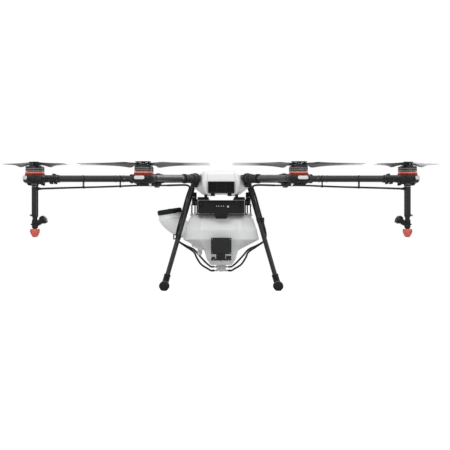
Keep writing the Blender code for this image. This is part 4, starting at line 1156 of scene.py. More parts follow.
@dataclass
class Rotors:
    """The eight turning bells with their blade clamps."""

    layout: Layout
    radius: float = 32.8
    low: float = 26.9
    high: float = 47.5
    hub_length: float = 60.0
    hub_width: float = 24.0
    plate: float = 4.5
    slot: float = 7.2
    pivot: float = 22.0

    def bell(self) -> Form:
        """Returns the bell with its grooves, open top spokes and shaft."""
        form = Form()
        r, low, high = self.radius, self.low, self.high
        profile = [(r - 3, low), (r - 0.4, low), (r, low + 0.5), (r, low + 3.2), (r - 0.7, low + 3.6),
                   (r - 0.7, low + 5),
                   (r, low + 5.4), (r, low + 10.4), (r - 0.7, low + 10.8), (r - 0.7, low + 12.2),
                   (r, low + 12.6),
                   (r, high - 4.2), (r - 1.6, high - 1.4), (r - 4.4, high - 0.2), (r - 6.4, high - 0.2),
                   (r - 6.4, high - 2.4), (r - 3, high - 4)]
        form.turned(profile, sides=64)
        form.turned([(0, 12.6), (4, 12.6), (4, high - 4), (14.4, high - 3.2), (14.4, high - 0.3),
                     (0, high - 0.3)], sides=48)
        for k in range(8):
            form.prism(rounded_box(16, 5.4, 1.2, 2), high - 3.6, high - 0.9,
                       spun(45 * k + 22.5) @ at(20.5, 0), 0.7)
        return form

    def highlight_lines(self) -> Form:
        """Returns two pale rings set in the bell's turned grooves, painted highlight lines on the dark bell.
        """
        form = Form()
        for low in (self.low + 3.7, self.low + 10.9):
            form.ring(self.radius - 0.25, self.radius - 2, low, low + 1.2, sides=64, edge=0.2)
        return form

    def hub(self) -> Form:
        """Returns the two clamp plates and the spacer between them."""
        form = Form()
        low = self.high - 0.3
        outline = []
        for k in range(40):
            angle = 2 * math.pi * k / 40
            c, s = math.cos(angle), math.sin(angle)
            x = math.copysign(abs(c) ** 0.62, c) * self.hub_length / 2
            y = math.copysign(abs(s) ** 0.62, s) * self.hub_width / 2
            outline.append((x, y * (0.78 + 0.22 * abs(x) / (self.hub_length / 2))))
        top = low + 2 * self.plate + self.slot
        form.prism(outline, low, low + self.plate, edge=0.9)
        form.prism(outline, top - self.plate, top, edge=1.1, segments=3)
        form.rod(8, low + self.plate - 0.4, top - self.plate + 0.4, sides=28)
        form.ring(9.5, 5, top - 0.4, top + 0.3, sides=32)
        return form

    def bolts(self) -> Form:
        """Returns the blade bolts, the hub's screws and the side pins."""
        form = Form()
        low = self.high - 0.3
        top = low + 2 * self.plate + self.slot
        for side in (-1, 1):
            form.rod(2.3, low + self.plate - 0.2, top - 1, at(side * self.pivot), 16)
            form.screw(at(side * self.pivot, 0, top - 1.9), 3.6, 2.2)
            form.screw(at(side * 11.5, 0, top - 1.1), 2.2, 1.4)
            for x in (-5, 5):
                form.rod(2.0, 5.6, 8.6, at(x, 0, low + self.plate + 3.6) @ along((0, side, 0)), 14, 0.5)
        form.turned([(0, top - 1.5), (3.4, top - 1.5), (3.4, top + 0.1), (2.6, top + 0.4), (0, top + 0.4)],
                    sides=6)
        return form

    def build(self) -> None:
        """Places the bells and hubs on their motors."""
        parts: Parts = [
            ("rotor_bell", self.bell().mesh("rotor_bell"), MOTOR_DARK),
            # The pale rings in the bell's grooves are painted highlight lines.
            ("bell_highlight_lines", self.highlight_lines().mesh("bell_highlight_lines"), BELL_HIGHLIGHT_METAL),
            ("blade_clamp", self.hub().mesh("blade_clamp"), BLACK_CAST),
            ("blade_bolts", self.bolts().mesh("blade_bolts"), STEEL),
        ]
        for number in self.layout.numbers:
            frame = self.layout.motor_frame(number, self.layout.blade_line(number))
            place_all(parts, f"_{number}", f"rotor_{number}", frame, (f"motor_bell_{number}",))


@dataclass
class Blades:
    """The sixteen folding blades, in two hands."""

    layout: Layout
    radius: float = 266.5
    pivot: float = 22.0
    pitch: float = 178.0
    root: float = 6.0
    stations: tuple[tuple[float, float, float, float], ...] = (
        (14.5, 3.0, -3.0, 6.0), (16.5, 6.2, -6.2, 6.0), (19.5, 7.3, -7.3, 6.0), (27, 7.3, -7.3, 6.0),
        (35, 6.6, -6.8, 6.0), (43, 7.8, -10.5, 5.6), (52, 10.0, -18, 5.0), (62, 13.0, -27, 4.5),
        (74, 15.0, -31, 4.0), (90, 15.0, -28.5, 3.7), (110, 14.0, -24, 3.4), (135, 12.6, -19.8, 3.1),
        (160, 11.0, -16.5, 2.7), (190, 9.2, -13.4, 2.4), (215, 7.5, -11.0, 2.1), (236, 5.7, -9.3, 1.9),
        (250, 4.3, -8.0, 1.7), (260, 2.2, -6.6, 1.5), (265, 0.0, -5.4, 1.3), (266.5, -1.4, -4.0, 1.1))

    def blade(self, spin: int) -> bpy.types.Mesh:
        """Returns one blade about its pivot, pointing along +X.

        Args:
            spin: 1 for a rotor that turns anticlockwise, -1 for the other hand.

        Returns:
            The blade's mesh.
        """
        rings = []
        count = 20
        for radius, lead, trail, thick in self.stations:
            x = radius - self.pivot
            blend = min(max((x - 13) / 30, 0), 1)
            twist = blend * math.atan2(self.pitch, 2 * math.pi * radius)
            chord = lead - trail
            ring = []
            for k in range(count):
                angle = 2 * math.pi * k / count
                run = 0.5 - 0.5 * math.cos(angle)
                half = (1.9 * math.sqrt(max(run, 0)) * (1 - run) + 0.25 * run * (1 - run)) * 0.68
                square = 0.5 * min(1.0, 6 * run, 6 * (1 - run))
                height = (blend * half + (1 - blend) * square) * math.copysign(1, math.sin(angle))
                camber = blend * 0.35 * 4 * run * (1 - run) * 0.35
                y = lead - chord * run
                z = (height + camber) * thick
                turn = (y * math.cos(twist) - z * math.sin(twist), y * math.sin(twist) + z * math.cos(twist))
                ring.append(Vector((x, spin * turn[0], turn[1])))
            rings.append(ring)
        form = Form()
        form._skin(rings, False, 80)
        form.ring(5.6, 2.6, -3.25, 3.25, sides=28)
        return form.mesh(f"blade_hand_{'left' if spin > 0 else 'right'}", sharp=50)

    def build(self) -> None:
        """Places each blade on its pivot."""
        hands = {1: self.blade(1), -1: self.blade(-1)}
        for number in self.layout.numbers:
            line = self.layout.blade_line(number)
            for letter, turn in (("a", 0), ("b", 180)):
                place = self.layout.spot(f"blade_fold_{number}{letter}")
                mesh = hands[-1 if number % 2 else 1].copy()
                mesh.transform(spun(line + turn))
                piece(f"propeller_blade_{number}{letter}", mesh, PROPELLER, f"propeller_{number}{letter}",
                      Matrix.Translation(place), (f"blade_{number}{letter}",))


@dataclass
class SprayNozzles:
    """The four hanging nozzles with their rods, check valves and hoses along the arms."""

    layout: Layout
    size: ArmSizes = ArmSizes()
    pivot_height: float = 394.5
    rod: float = 9.3
    rod_low: float = 276.0
    elbow: float = 385.0
    body_low: float = 236.0
    cap_low: float = 202.0
    cap_top: float = 233.0
    valve_rise: float = 31.0
    hose_height: float = 397.0

    def axis(self) -> Matrix:
        """Returns the frame on the motor's axis at ground height, in the arm's frame."""
        return at(self.layout.reach(), 0, -self.pivot_height)

    def rod_form(self) -> Form:
        """Returns the hanger rod, chamfered at its lower end."""
        r, low = self.rod, self.rod_low
        form = Form()
        form.turned([(0, 404.6), (r, 404.6), (r, low + 6), (r - 0.8, low + 4), (r - 3.4, low - 1),
                     (0, low - 1)],
                    self.axis(), 40)
        return form

    def rod_trim(self) -> Form:
        """Returns the pale collar at the rod's top and the elbow's clip ring."""
        form = Form()
        form.ring(self.rod + 1.4, self.rod - 2, 400.5, 403.4, self.axis(), 40)
        form.ring(self.rod + 0.6, self.rod - 2, 391.5, 392.6, self.axis(), 40)
        return form

    def fittings(self) -> Form:
        """Returns the elbow, the eyelet and the nozzle body with its tee."""
        form = Form()
        axis = self.axis()
        inward = axis @ at(0, 0, self.elbow) @ along((-1, 0, 0))
        form.rod(6.4, self.rod - 2, self.rod + 4, inward, 6, 0.8)
        form.rod(4.6, self.rod + 3, self.rod + 12, inward, 28)
        outward = axis @ at(0, 0, 284) @ along((1, 0, 0))
        form.rod(3.2, self.rod - 2, self.rod + 3.4, outward, 24, 0.8)
        form.ring(3.4, 1.4, -1.2, 1.2, axis @ at(self.rod + 5.4, 0, 284) @ along((0, 1, 0)), 24)
        body = [(0, self.body_low), (6.6, self.body_low), (8.4, self.body_low + 2), (8.4, self.body_low + 9),
                (7.4, self.body_low + 11), (7.4, self.body_low + 17), (8.6, self.body_low + 19),
                (8.6, self.body_low + 29), (6.8, self.body_low + 31.5), (5.8, self.body_low + 34),
                (5.8, 277), (0, 277)]
        form.turned(body, axis, 36)
        form.rod(3.4, 6, 12.6, axis @ at(0, 0, 250) @ along((1, 0, 0)), 20, 0.8)
        form.rod(4.6, self.cap_top - 3, self.body_low + 2, axis, 24)
        return form

    def valve_frame(self) -> Matrix:
        """Returns the frame of the check valve, rising inwards from the nozzle body."""
        rise = math.radians(self.valve_rise)
        return self.axis() @ at(0, 0, 247) @ along((-math.cos(rise), 0, math.sin(rise)))

    def valve(self) -> Form:
        """Returns the diaphragm check valve and its stub."""
        form = Form()
        profile = [(0, 2), (7.6, 2), (7.6, 12), (8.6, 14), (8.6, 27), (10.4, 31), (14.0, 34.4), (14.6, 35.2),
                   (14.6, 38.4), (0, 38.4)]
        form.turned(profile, self.valve_frame(), 40)
        return form

    def valve_cap(self) -> Form:
        """Returns the valve's screw cap with its grip ribs."""
        form = Form()
        profile = [(0, 38.6), (13.8, 38.6), (13.8, 46.6), (12.2, 48.2), (6.2, 48.4), (5.4, 47.2), (0, 47.2)]
        form.turned(profile, self.valve_frame(), 40)
        for k in range(24):
            form.prism(rounded_box(1.6, 1.8, 0.5, 2), 39.2, 46.6,
                       self.valve_frame() @ spun(15 * k) @ at(14.0, 0), 0.4, 1)
        return form

    def spray_cap(self) -> bpy.types.Mesh:
        """Returns the orange bayonet cap with its wings and the slot in its outer side."""
        low, top = self.cap_low, self.cap_top
        profile = [(0, top), (13.2, top), (14.8, top - 1.4), (15, top - 4), (15, top - 10),
                   (14.2, top - 13.5),
                   (12.4, low + 13), (9.6, low + 7), (7.2, low + 3.4), (6.2, low + 2), (0, low + 2)]
        form = Form().turned(profile, self.axis(), 48)
        for turn in (0, 180):
            wing = self.axis() @ spun(turn + 90)
            outline = [(13, low + 14), (15.4, low + 17), (15.4, top - 3), (13, top - 1)]
            form.prism(outline, -3.2, 3.2, wing @ Matrix.Rotation(math.pi / 2, 4, "X"), 0.8)
        slot = Form().box((9, -6.5, low + 14), (20, 6.5, low + 24), self.axis(), 1.2)
        return carved(form.mesh("spray_cap"), [], [slot.mesh("slot")], 38)

    def spray_tip(self) -> Form:
        """Returns the dark spray tip with the two prongs that guard it."""
        form = Form()
        low = self.cap_low
        form.turned([(0, low + 4), (4.4, low + 4), (4.4, low + 1.2), (3.4, low + 0.2), (1, low + 0.2),
                     (1, low + 1.2),
                     (0, low + 1.2)], self.axis(), 28)
        for y in (-4.4, 4.4):
            form.box((-2.2, y - 1.1, low + 0.1), (2.2, y + 1.1, low + 4), self.axis(), 0.5)
        form.rod(9.9, low + 13, low + 25, self.axis(), 40)
        return form

    def hose(self, side: int) -> Form:
        """Returns the hose from the rod's elbow to the clip by the fold.

        Args:
            side: The side of the arm that the hose leaves on.

        Returns:
            The hose's form.
        """
        reach = self.layout.reach()
        level = self.hose_height - self.pivot_height
        drop = self.elbow - self.pivot_height
        route = [(reach - 17, 0, drop), (reach - 30, 0, drop - 0.2), (360, 0, drop + 3.0),
                 (230, 0.4 * side, drop + 6.2),
                 (150, 0, level - 3), (110, 1.4 * side, level - 1.4), (84, 4 * side, level - 0.4),
                 (60, 7 * side, level),
                 (40, 11.4 * side, level), (24, 15 * side, level)]
        return Form().sweep(smooth_route(route, 5), 3.0, 18)

    def clips(self, side: int) -> Form:
        """Returns the clip that holds the hose to the tube near the fold."""
        form = Form()
        level = self.hose_height - self.pivot_height
        spot = at(33, 12.9 * side, level)
        form.ring(4.4, 2.9, -3.5, 3.5, spot @ along((1, 0, 0)), 24)
        form.box((28, 11 * side - 3, level + 3.6), (38, 11 * side + 3, level + 7.5), edge=0.8)
        return form

    def ties(self) -> Form:
        """Returns the bands round the tube and the hangers from them down to the hose."""
        form = Form()
        for run, low in ((150, -1.5), (300, -5.2)):
            form.ring(self.size.tube + 0.9, self.size.tube - 0.2, run - 2.4, run + 2.4,
                      at(0, 0, self.size.drop) @ Matrix.Rotation(math.pi / 2, 4, "Y"), 40, 0.3)
            form.ring(4.2, 2.9, -2.2, 2.2, at(run, 0, low) @ along((1, 0, 0)), 24)
            form.box((run - 1.6, -1.2, low + 3.2), (run + 1.6, 1.2, self.size.drop - self.size.tube + 0.6),
                     edge=0.4, segments=1)
        return form

    def build(self) -> None:
        """Places the nozzles on the sideways arms, with a stretch of hose across each fold."""
        shared: Parts = [
            ("nozzle_rod", self.rod_form().mesh("nozzle_rod"), CARBON),
            ("nozzle_rod_collar", self.rod_trim().mesh("nozzle_rod_collar"), FITTING_GREY),
            ("nozzle_body", self.fittings().mesh("nozzle_body"), BLACK_MOULDED),
            ("check_valve", self.valve().mesh("check_valve"), BLACK_MOULDED),
            ("check_valve_cap", self.valve_cap().mesh("check_valve_cap"), BLACK_GLOSS),
            ("spray_cap", self.spray_cap(), SPRAY_ORANGE),
            ("spray_tip", self.spray_tip().mesh("spray_tip"), BLACK_GLOSS),
            ("hose_ties", self.ties().mesh("hose_ties"), BLACK_MOULDED),
        ]
        handed = {side: [("arm_hose", self.hose(side).mesh("arm_hose"), HOSE),
                         ("hose_clips", self.clips(side).mesh("hose_clips"), FITTING_GREY)] for side in (-1,
                                                                                                         1)}
        for number in self.layout.sprayers:
            frame = self.layout.arm_frame(number)
            side = self.layout.hose_side(number)
            place_all(shared, f"_{number}", f"arm_{number}", frame, (f"spray_nozzle_{number}",))
            place_all(handed[side], f"_{number}", f"arm_{number}", frame)
            self.bending_hose(number, side, frame)

    def bending_hose(self, number: int, side: int, frame: Matrix) -> None:
        """Places the stretch of hose across the fold, fixed where it stands and attached to no body.

        Args:
            number: The arm's number.
            side: The side of the arm that the hose is on.
            frame: The arm's frame, in metres.
        """
        level = self.hose_height - self.pivot_height
        route = [(26, 14.6 * side, level), (16, 17 * side, level), (0, 20.6 * side, level),
                 (-16, 24.4 * side, level), (-30, 27.8 * side, level)]
        mesh = Form().sweep(smooth_route(route, 8), 2.95, 18).mesh("bending_hose")
        hose = piece(f"bending_hose_{number}", mesh, HOSE, None, frame)
        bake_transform(hose)


Section = tuple[float, float, float, float]


def eight_corners(section: Section, corner: float, inset: float = 0.0, rise: float = 0.0) -> list[Point]:
    """Returns a ring with eight corners: flat front, flanks and back, and a chamfer between them.

    Args:
        section: Its height, half width, half width of the front face, and half length.
        corner: The chamfers' length along Y.
        inset: How far the ring is drawn in.
        rise: How far it is lifted.

    Returns:
        The ring's points.
    """
    height, half_width, face, half_length = section
    x, y, f = half_width - inset, half_length - inset, face - 0.4 * inset
    c = min(corner, 0.5 * half_length)
    points = [(f, -y), (x, c - y), (x, y - c), (f, y), (-f, y), (-x, y - c), (-x, c - y), (-f, -y)]
    return [(px, py, height + rise) for px, py in points]


@dataclass
class CentreFrame:
    """The carbon plates that clamp the root tubes, with their posts, and the electronics between them."""

    lower: float = 405.0
    upper: float = 436.0
    plate: float = 3.0
    lower_corners: tuple[Flat, ...] = ((105, 95), (62, 148))
    upper_corners: tuple[Flat, ...] = ((74, 60), (48, 112))
    post_x: float = 58.0
    post_y: float = 95.0
    post_low: float = 345.1

    @staticmethod
    def outline(corners: Sequence[Flat]) -> list[Flat]:
        """Returns an eight-sided plate's outline from two of its corners."""
        (ax, ay), (bx, by) = corners
        return [(ax, -ay), (ax, ay), (bx, by), (-bx, by), (-ax, ay), (-ax, -ay), (-bx, -by), (bx, -by)]

    def plates(self) -> bpy.types.Mesh:
        """Returns both plates, with lightening holes in the upper one."""
        form = Form()
        form.prism(self.outline(self.lower_corners), self.lower, self.lower + self.plate, edge=0.5)
        form.prism(self.outline(self.upper_corners), self.upper, self.upper + self.plate, edge=0.5)
        holes = []
        for x, y in ((0, 78), (0, -78), (46, 66), (-46, 66), (46, -66), (-46, -66)):
            holes.append(Form().rod(9, self.upper - 3, self.upper + 8, at(x, y), 28, 0.1).mesh("hole"))
        return carved(form.mesh("centre_plates"), [], holes, 30)

    def fittings(self) -> Form:
        """Returns the centre block and the posts."""
        form = Form()
        form.rod(34, self.lower + 2, self.upper + 1, sides=8)
        for sx in (-1, 1):
            for sy in (-1, 1):
                spot = at(sx * self.post_x, sy * self.post_y)
                form.rod(5, self.post_low, self.lower + 1, spot, 6)
                form.rod(7, self.lower - 4, self.lower + 0.5, spot, 24, 0.8)
        return form

    def saddles(self) -> Form:
        """Returns the clamp blocks on the root tubes."""
        form = Form()
        for turn in range(8):
            spot = spun(22.5 + 45 * turn) @ at(92, 0, 422)
            form.prism(rounded_box(36, 28, 5), -8, 8, spot @ Matrix.Rotation(math.pi / 2, 4, "Y"), 1.2)
        return form

    def screws(self) -> Form:
        """Returns the screws in the upper plate."""
        form = Form()
        for turn in range(8):
            for side in (-1, 1):
                form.screw(spun(22.5 + 45 * turn) @ at(62, side * 11, self.upper + self.plate), 2.8, 1.8)
        return form

    def electronics(self) -> None:
        """Places the flight controller and the power board."""
        case = Form().box((-52, -70, 372), (52, 70, 402.6), edge=3.0, segments=3)
        for k in range(9):
            case.box((-46 + 10 * k, -58, 402.0), (-41 + 10 * k, 58, 403), edge=0.3, segments=1)
        piece("controller_case", case.mesh("controller_case"), BLACK_CAST, "airframe",
              replaces=("flight_controller",))
        plugs = Form()
        for x in (-36, -20, -4, 12, 28):
            plugs.box((x, -73.5, 380), (x + 10, -69, 389), edge=0.6)
            plugs.rod(1.5, 73, 82, at(x + 5, 0, 384) @ along((0, -1, 0)), 12)
        piece("controller_plugs", plugs.mesh("controller_plugs"), BLACK_GLOSS, "airframe")
        board = Form().box((-34, -46, 439), (34, 46, 440.6), edge=0.2, segments=1)
        piece("power_circuit", board.mesh("power_circuit"), BOARD, "airframe", replaces=("power_board",))
        chips = Form()
        for x, y, w, d, h in ((-20, -20, 12, 12, 1.6), (10, -24, 9, 14, 1.4), (-6, 14, 16, 9, 1.5),
                              (20, 20, 8, 8, 2.0),
                              (-24, 26, 6, 10, 1.8)):
            chips.box((x, y, 440.4), (x + w, y + d, 440.6 + h), edge=0.3, segments=1)
        piece("power_chips", chips.mesh("power_chips"), BLACK_GLOSS, "airframe")

    def build(self) -> None:
        """Places the frame's pieces."""
        piece("centre_plates", self.plates(), CARBON_PLATE, "airframe", replaces=("centre_frame",))
        piece("centre_block", self.fittings().mesh("centre_block"), BLACK_CAST, "airframe")
        piece("tube_saddles", self.saddles().mesh("tube_saddles"), BLACK_MOULDED, "airframe")
        piece("plate_screws", self.screws().mesh("plate_screws"), STEEL, "airframe")
        self.electronics()


@dataclass
class TopCover:
    """The moulded white cover with its creased flanks, trim strips and the grille in its nose."""

    sections: tuple[Section, ...] = ((362, 69, 55, 227), (397, 114, 70, 236), (414, 113, 70, 234),
                                     (440, 84, 64, 219),
                                     (449, 66, 58, 204))
    corner: float = 50.0
    wall: float = 2.5
    mouth: float = 49.3
    mouth_low: float = 366.7
    mouth_high: float = 411.3
    leg_top: Point = (104.3, 88, 398)
    leg_foot: Point = (214.8, 150, 17.5)

    def shell(self) -> bpy.types.Mesh:
        """Returns the cover, hollow and open below."""
        outer = Form().shaped([eight_corners(s, self.corner) for s in self.sections], edge=4.0, segments=4,
                              angle=8)
        first, last = self.sections[0], self.sections[-1]
        rings = [eight_corners((first[0] - 5, *first[1:]), self.corner, self.wall)]
        rings += [eight_corners(s, self.corner, self.wall) for s in self.sections[:-1]]
        rings.append(eight_corners(last, self.corner, self.wall, -self.wall))
        inner = Form().shaped(rings, edge=0)
        cuts = [inner.mesh("hollow")]
        for turn in range(8):
            frame = spun(22.5 + 45 * turn) @ at(0, 0, 422) @ Matrix.Rotation(math.pi / 2, 4, "Y")
            cuts.append(Form().rod(15.6, 60, 244, frame, 40, 0.1).mesh("tube_hole"))
        for sx in (-1, 1):
            for sy in (-1, 1):
                flip = Vector((sx, sy, 1))
                top, foot = Vector(self.leg_top) * flip, Vector(self.leg_foot) * flip
                frame = along(tuple(top - foot), tuple(foot))
                cuts.append(Form().rod(9.6, 320, 410, frame, 32, 0.1).mesh("leg_hole"))
        window = Form().prism([(-self.mouth, self.mouth_low), (self.mouth, self.mouth_low),
                               (self.mouth + 0.8, self.mouth_high), (-self.mouth - 0.8, self.mouth_high)],
                              205, 270, FRONT, 0)
        cuts.append(window.mesh("window"))
        return carved(outer.mesh("cover_shell"), [], cuts, 24)

    def depth(self, height: float) -> float:
        """Returns the front face's distance ahead of the middle at a height."""
        for low, high in zip(self.sections, self.sections[1:]):
            if height <= high[0]:
                share = (height - low[0]) / (high[0] - low[0])
                return low[3] + share * (high[3] - low[3])
        return self.sections[-1][3]

    def strip(self, low: Sequence[Flat], inner: float, proud: float) -> list[list[Point]]:
        """Returns rings of a strip that follows the front face.

        Args:
            low: The (x, z) points along the strip's middle line.
            inner: Half of the strip's width.
            proud: How far it stands out.

        Returns:
            Rings of four points.
        """
        rings = []
        for x, z in low:
            y = self.depth(z)
            rings.append([(x - inner, -y + 1.0, z), (x + inner, -y + 1.0, z),
                          (x + inner * 0.7, -y - proud, z),
                          (x - inner * 0.7, -y - proud, z)])
        return rings

    def trim(self) -> Form:
        """Returns the bright strips beside the grille and their continuation up the cover's upper front."""
        form = Form()
        for side in (-1, 1):
            line = [(side * 52.0, 367), (side * 53.2, 397), (side * 54.0, 414)]
            form.shaped(self.strip(line, 1.9, 0.9), edge=0.4)
            line = [(side * 52.6, 414.6), (side * 50.6, 440), (side * 49.2, 446)]
            form.shaped(self.strip(line, 1.2, 0.7), edge=0.3)
        return form

    def seam(self) -> Form:
        """Returns the four screws that hold the cover down, in shallow cups."""
        form = Form()
        for sx in (-1, 1):
            for y in (-96, 96):
                spot = at(sx * 52, y, 448.2)
                form.ring(5.4, 3.4, 0, 1.0, spot, 28, 0.3)
                form.screw(spot, 3.0, 0.9)
        return form

    def grille(self) -> None:
        """Places the filter grille: a frame, its bars and mesh, and the lower bar with its feet."""
        low, high, half = 367.0, 411.0, 49.0
        frame = Form()
        frame.prism([(-half, high - 3.2), (half, high - 3.2), (half, high), (-half, high)], 232, 242, FRONT,
                    1.0)
        frame.prism([(-half, low), (half, low), (half, low + 5.6), (-half, low + 5.6)], 232, 242, FRONT, 1.2)
        for side in (-1, 1):
            inner, outer = sorted((side * (half - 3.4), side * half))
            frame.prism([(inner, low + 5), (outer, low + 5), (outer, high - 3), (inner, high - 3)], 232,
                        241.6, FRONT, 0.9)
        for k in range(2):
            x = -16.4 + 32.8 * k
            frame.prism([(x - 1, low + 5), (x + 1, low + 5), (x + 1, high - 3), (x - 1, high - 3)], 232,
                        240.8, FRONT, 0.5)
        piece("grille_frame", frame.mesh("grille_frame"), BLACK_MOULDED, "airframe", replaces=("air_grille",))
        mesh = Form()
        for k in range(17):
            z = low + 6.6 + 2.0 * k
            mesh.box((-half + 2, -239.4, z), (half - 2, -237.4, z + 0.9), edge=0.25, segments=1)
        for k in range(38):
            x = -half + 3.4 + 2.5 * k
            mesh.box((x, -238.0, low + 4), (x + 0.8, -236.4, high - 2), edge=0.2, segments=1)
        piece("grille_mesh", mesh.mesh("grille_mesh"), BLACK_GLOSS, "airframe")
        back = Form().box((-half + 1, -235.6, low + 1), (half - 1, -232, high - 1), edge=0.6)
        piece("grille_filter", back.mesh("grille_filter"), RUBBER, "airframe")
        feet = Form()
        for side in (-1, 1):
            x0, x1 = sorted((side * 24, side * 39))
            feet.prism([(x0, 356), (x1, 356), (x1, 367.4), (x0, 367.4)], 219, 231, FRONT, 0.8)
            x0, x1 = sorted((side * 23, side * 60))
            feet.prism([(x0, 356.6), (x1, 356.6), (x1, 359.4), (x0, 359.4)], 180, 227, FRONT, 0.5)
            x0, x1 = sorted((side * 52, side * 64))
            feet.prism([(x0, 345.2), (x1, 345.2), (x1, 366), (x0, 366)], 120, 150, FRONT, 1.0)
            feet.screw(at(side * 31.5, -231, 362) @ along((0, -1, 0)), 2.0, 1.2)
        piece("grille_feet", feet.mesh("grille_feet"), BLACK_CAST, "airframe")

    def build(self) -> None:
        """Places the cover and the grille."""
        piece("cover_shell", self.shell(), SHELL_WHITE, "airframe", replaces=("top_shell",), weighted=True)
        piece("cover_trim", self.trim().mesh("cover_trim"), TRIM_AND_HIGHLIGHT_GREY, "airframe")
        piece("cover_screws", self.seam().mesh("cover_screws"), STEEL, "airframe")
        self.grille()


@dataclass
class BatteryBay:
    """The sliding battery with its button and lamps, and the rack that holds it."""

    half: float = 87.5
    low: float = 289.5
    high: float = 341.0
    front: float = 168.0
    length: float = 150.0
    button_x: float = 25.6
    button_z: float = 317.0

    def case(self) -> bpy.types.Mesh:
        """Returns the battery case with a recess at each side of its front and ribs on its flanks."""
        back = self.front - self.length
        form = Form().box((-self.half, -self.front + 2, self.low), (self.half, -back, self.high), edge=3.0,
                          segments=3)
        cuts = []
        for side in (-1, 1):
            x0, x1 = sorted((side * 70, side * 84))
            pocket = Form().prism([(x0, 317), (x1, 317), (x1, 335), (x0, 335)], self.front - 9,
                                  self.front + 5, FRONT, 1.6)
            cuts.append(pocket.mesh("pocket"))
            for k in range(5):
                y = -self.front + 24 + 24 * k
                x0, x1 = sorted((side * (self.half - 1.2), side * (self.half + 3)))
                cuts.append(Form().box((x0, y, self.low + 8), (x1, y + 14, self.high - 8),
                                       edge=1.0).mesh("groove"))
        return carved(form.mesh("battery_case"), [], cuts, 26)

    def panel(self) -> bpy.types.Mesh:
        """Returns the front panel with the button's bore and a shallow field for the lamps."""
        outline = [(-67, 292), (-64, 289.7), (64, 289.7), (67, 292), (67, 333), (63, 336.5), (-63, 336.5),
                   (-67, 333)]
        form = Form().prism(outline, self.front - 4, self.front, FRONT, 1.2, 3)
        bore = Form().rod(4.7, -20, 20, at(self.button_x, -self.front, self.button_z) @ along((0, 1, 0)),
                          36, 0.1)
        field_cut = Form().prism([(-24, 313.5), (16, 313.5), (16, 323.5), (-24, 323.5)], self.front - 0.7,
                                 self.front + 4,
                                 FRONT, 0.3)
        return carved(form.mesh("battery_panel"), [], [bore.mesh("bore"), field_cut.mesh("field")], 26)

    def lamps(self) -> Form:
        """Returns the four charge lamps."""
        form = Form()
        for x in (-17, -9, 0.4, 8.7):
            form.rod(1.7, 0, 1.1, at(x, -self.front + 0.8, 318.6) @ along((0, -1, 0)), 20, 0.4)
        return form

    def handle(self) -> Form:
        """Returns the pull handle below the front, with its grip ribs."""
        form = Form()
        outline = [(-20, 271.5), (20, 271.5), (26, 284), (26, 295), (-26, 295), (-26, 284)]
        form.prism(outline, self.front - 7.8, self.front - 0.6, FRONT, 1.6, 3)
        for k in range(4):
            z = 274 + 2.8 * k
            form.box((-17, -self.front + 0.1, z), (17, -self.front + 2, z + 1.3), edge=0.4, segments=1)
        return form

    def latch_plates(self) -> Form:
        """Returns the catches in the recesses and the bars across them."""
        form = Form()
        for side in (-1, 1):
            x0, x1 = sorted((side * 73, side * 81))
            form.prism([(x0, 319), (x1, 319), (x1, 333), (x0, 333)], self.front - 9, self.front - 5, FRONT,
                       0.8)
            form.rod(1.4, 0, 3, at(side * 77, -self.front + 5, 326) @ along((0, -1, 0)), 16)
        return form

    def button(self) -> bpy.types.Mesh:
        """Returns the power button, with a raised rim around a dished cap."""
        profile = [(0, -3.6), (3.9, -3.6), (3.9, 0.9), (3.5, 1.3), (2.7, 1.35), (2.3, 0.9), (0, 0.7)]
        return Form().turned(profile, along((0, -1, 0)), 36).mesh("button_cap")

    def rack(self) -> Form:
        """Returns the folded channel with its lips."""
        inner, outer = self.half + 0.8, self.half + 3.8
        low, floor, under, top = self.low - 3.8, self.low - 0.8, self.high + 0.8, self.high + 3.8
        half = [(outer, low), (outer, top), (44, top), (44, under), (inner, under), (inner, floor)]
        outline = half + [(-x, z) for x, z in reversed(half)]
        return Form().shaped([[(x, y, z) for x, z in outline] for y in (-150, 130)], edge=0.5, segments=2,
                             angle=40)

    def rack_trim(self) -> Form:
        """Returns the rack's buffers, rear stop, seats under the battery, edge strips, cheeks and rivets."""
        form = Form()
        for side in (-1, 1):
            x0, x1 = sorted((side * 47, side * 89))
            form.box((x0, -148, self.high + 4), (x1, -104, self.high + 12), edge=1.8, segments=3)
            form.box((x0, 100, self.high + 4), (x1, 126, self.high + 12), edge=1.8, segments=3)
            for y in range(-130, 131, 40):
                form.screw(at(side * (self.half + 3.8), y, 300) @ along((side, 0, 0)), 3.0, 1.4)
        form.box((-80, 112, self.low), (80, 120, self.high - 4), edge=1.5)
        form.box((-88, -148, 282.4), (88, -118, self.low - 3.9), edge=0.6)
        form.box((-88, 60, 282.4), (88, 88, self.low - 3.9), edge=0.6)
        form.box((-self.half - 5, -152, self.low - 4.4), (self.half + 5, -149.6, self.low - 0.5), edge=0.5)
        for side in (-1, 1):
            x0, x1 = sorted((side * (self.half + 3.9), side * (self.half + 5.4)))
            form.box((x0, -149, self.low - 2), (x1, -96, self.high + 3), edge=0.5)
            x0, x1 = sorted((side * (self.half + 0.5), side * (self.half + 5.4)))
            form.box((x0, -152, self.low - 4), (x1, -149.6, self.high + 3.4), edge=0.5)
        return form

    def power_plug(self) -> Form:
        """Returns the power connector between the battery and the back of the rack, with its two leads."""
        form = Form()
        form.box((-22, -18, 304), (22, -6, 326), edge=1.5)
        for x in (-10, 10):
            form.sweep(smooth_route([(x, -8, 315), (x, 20, 315), (x * 1.6, 60, 320), (x * 2, 104, 316)], 6),
                       3.6, 16)
        return form

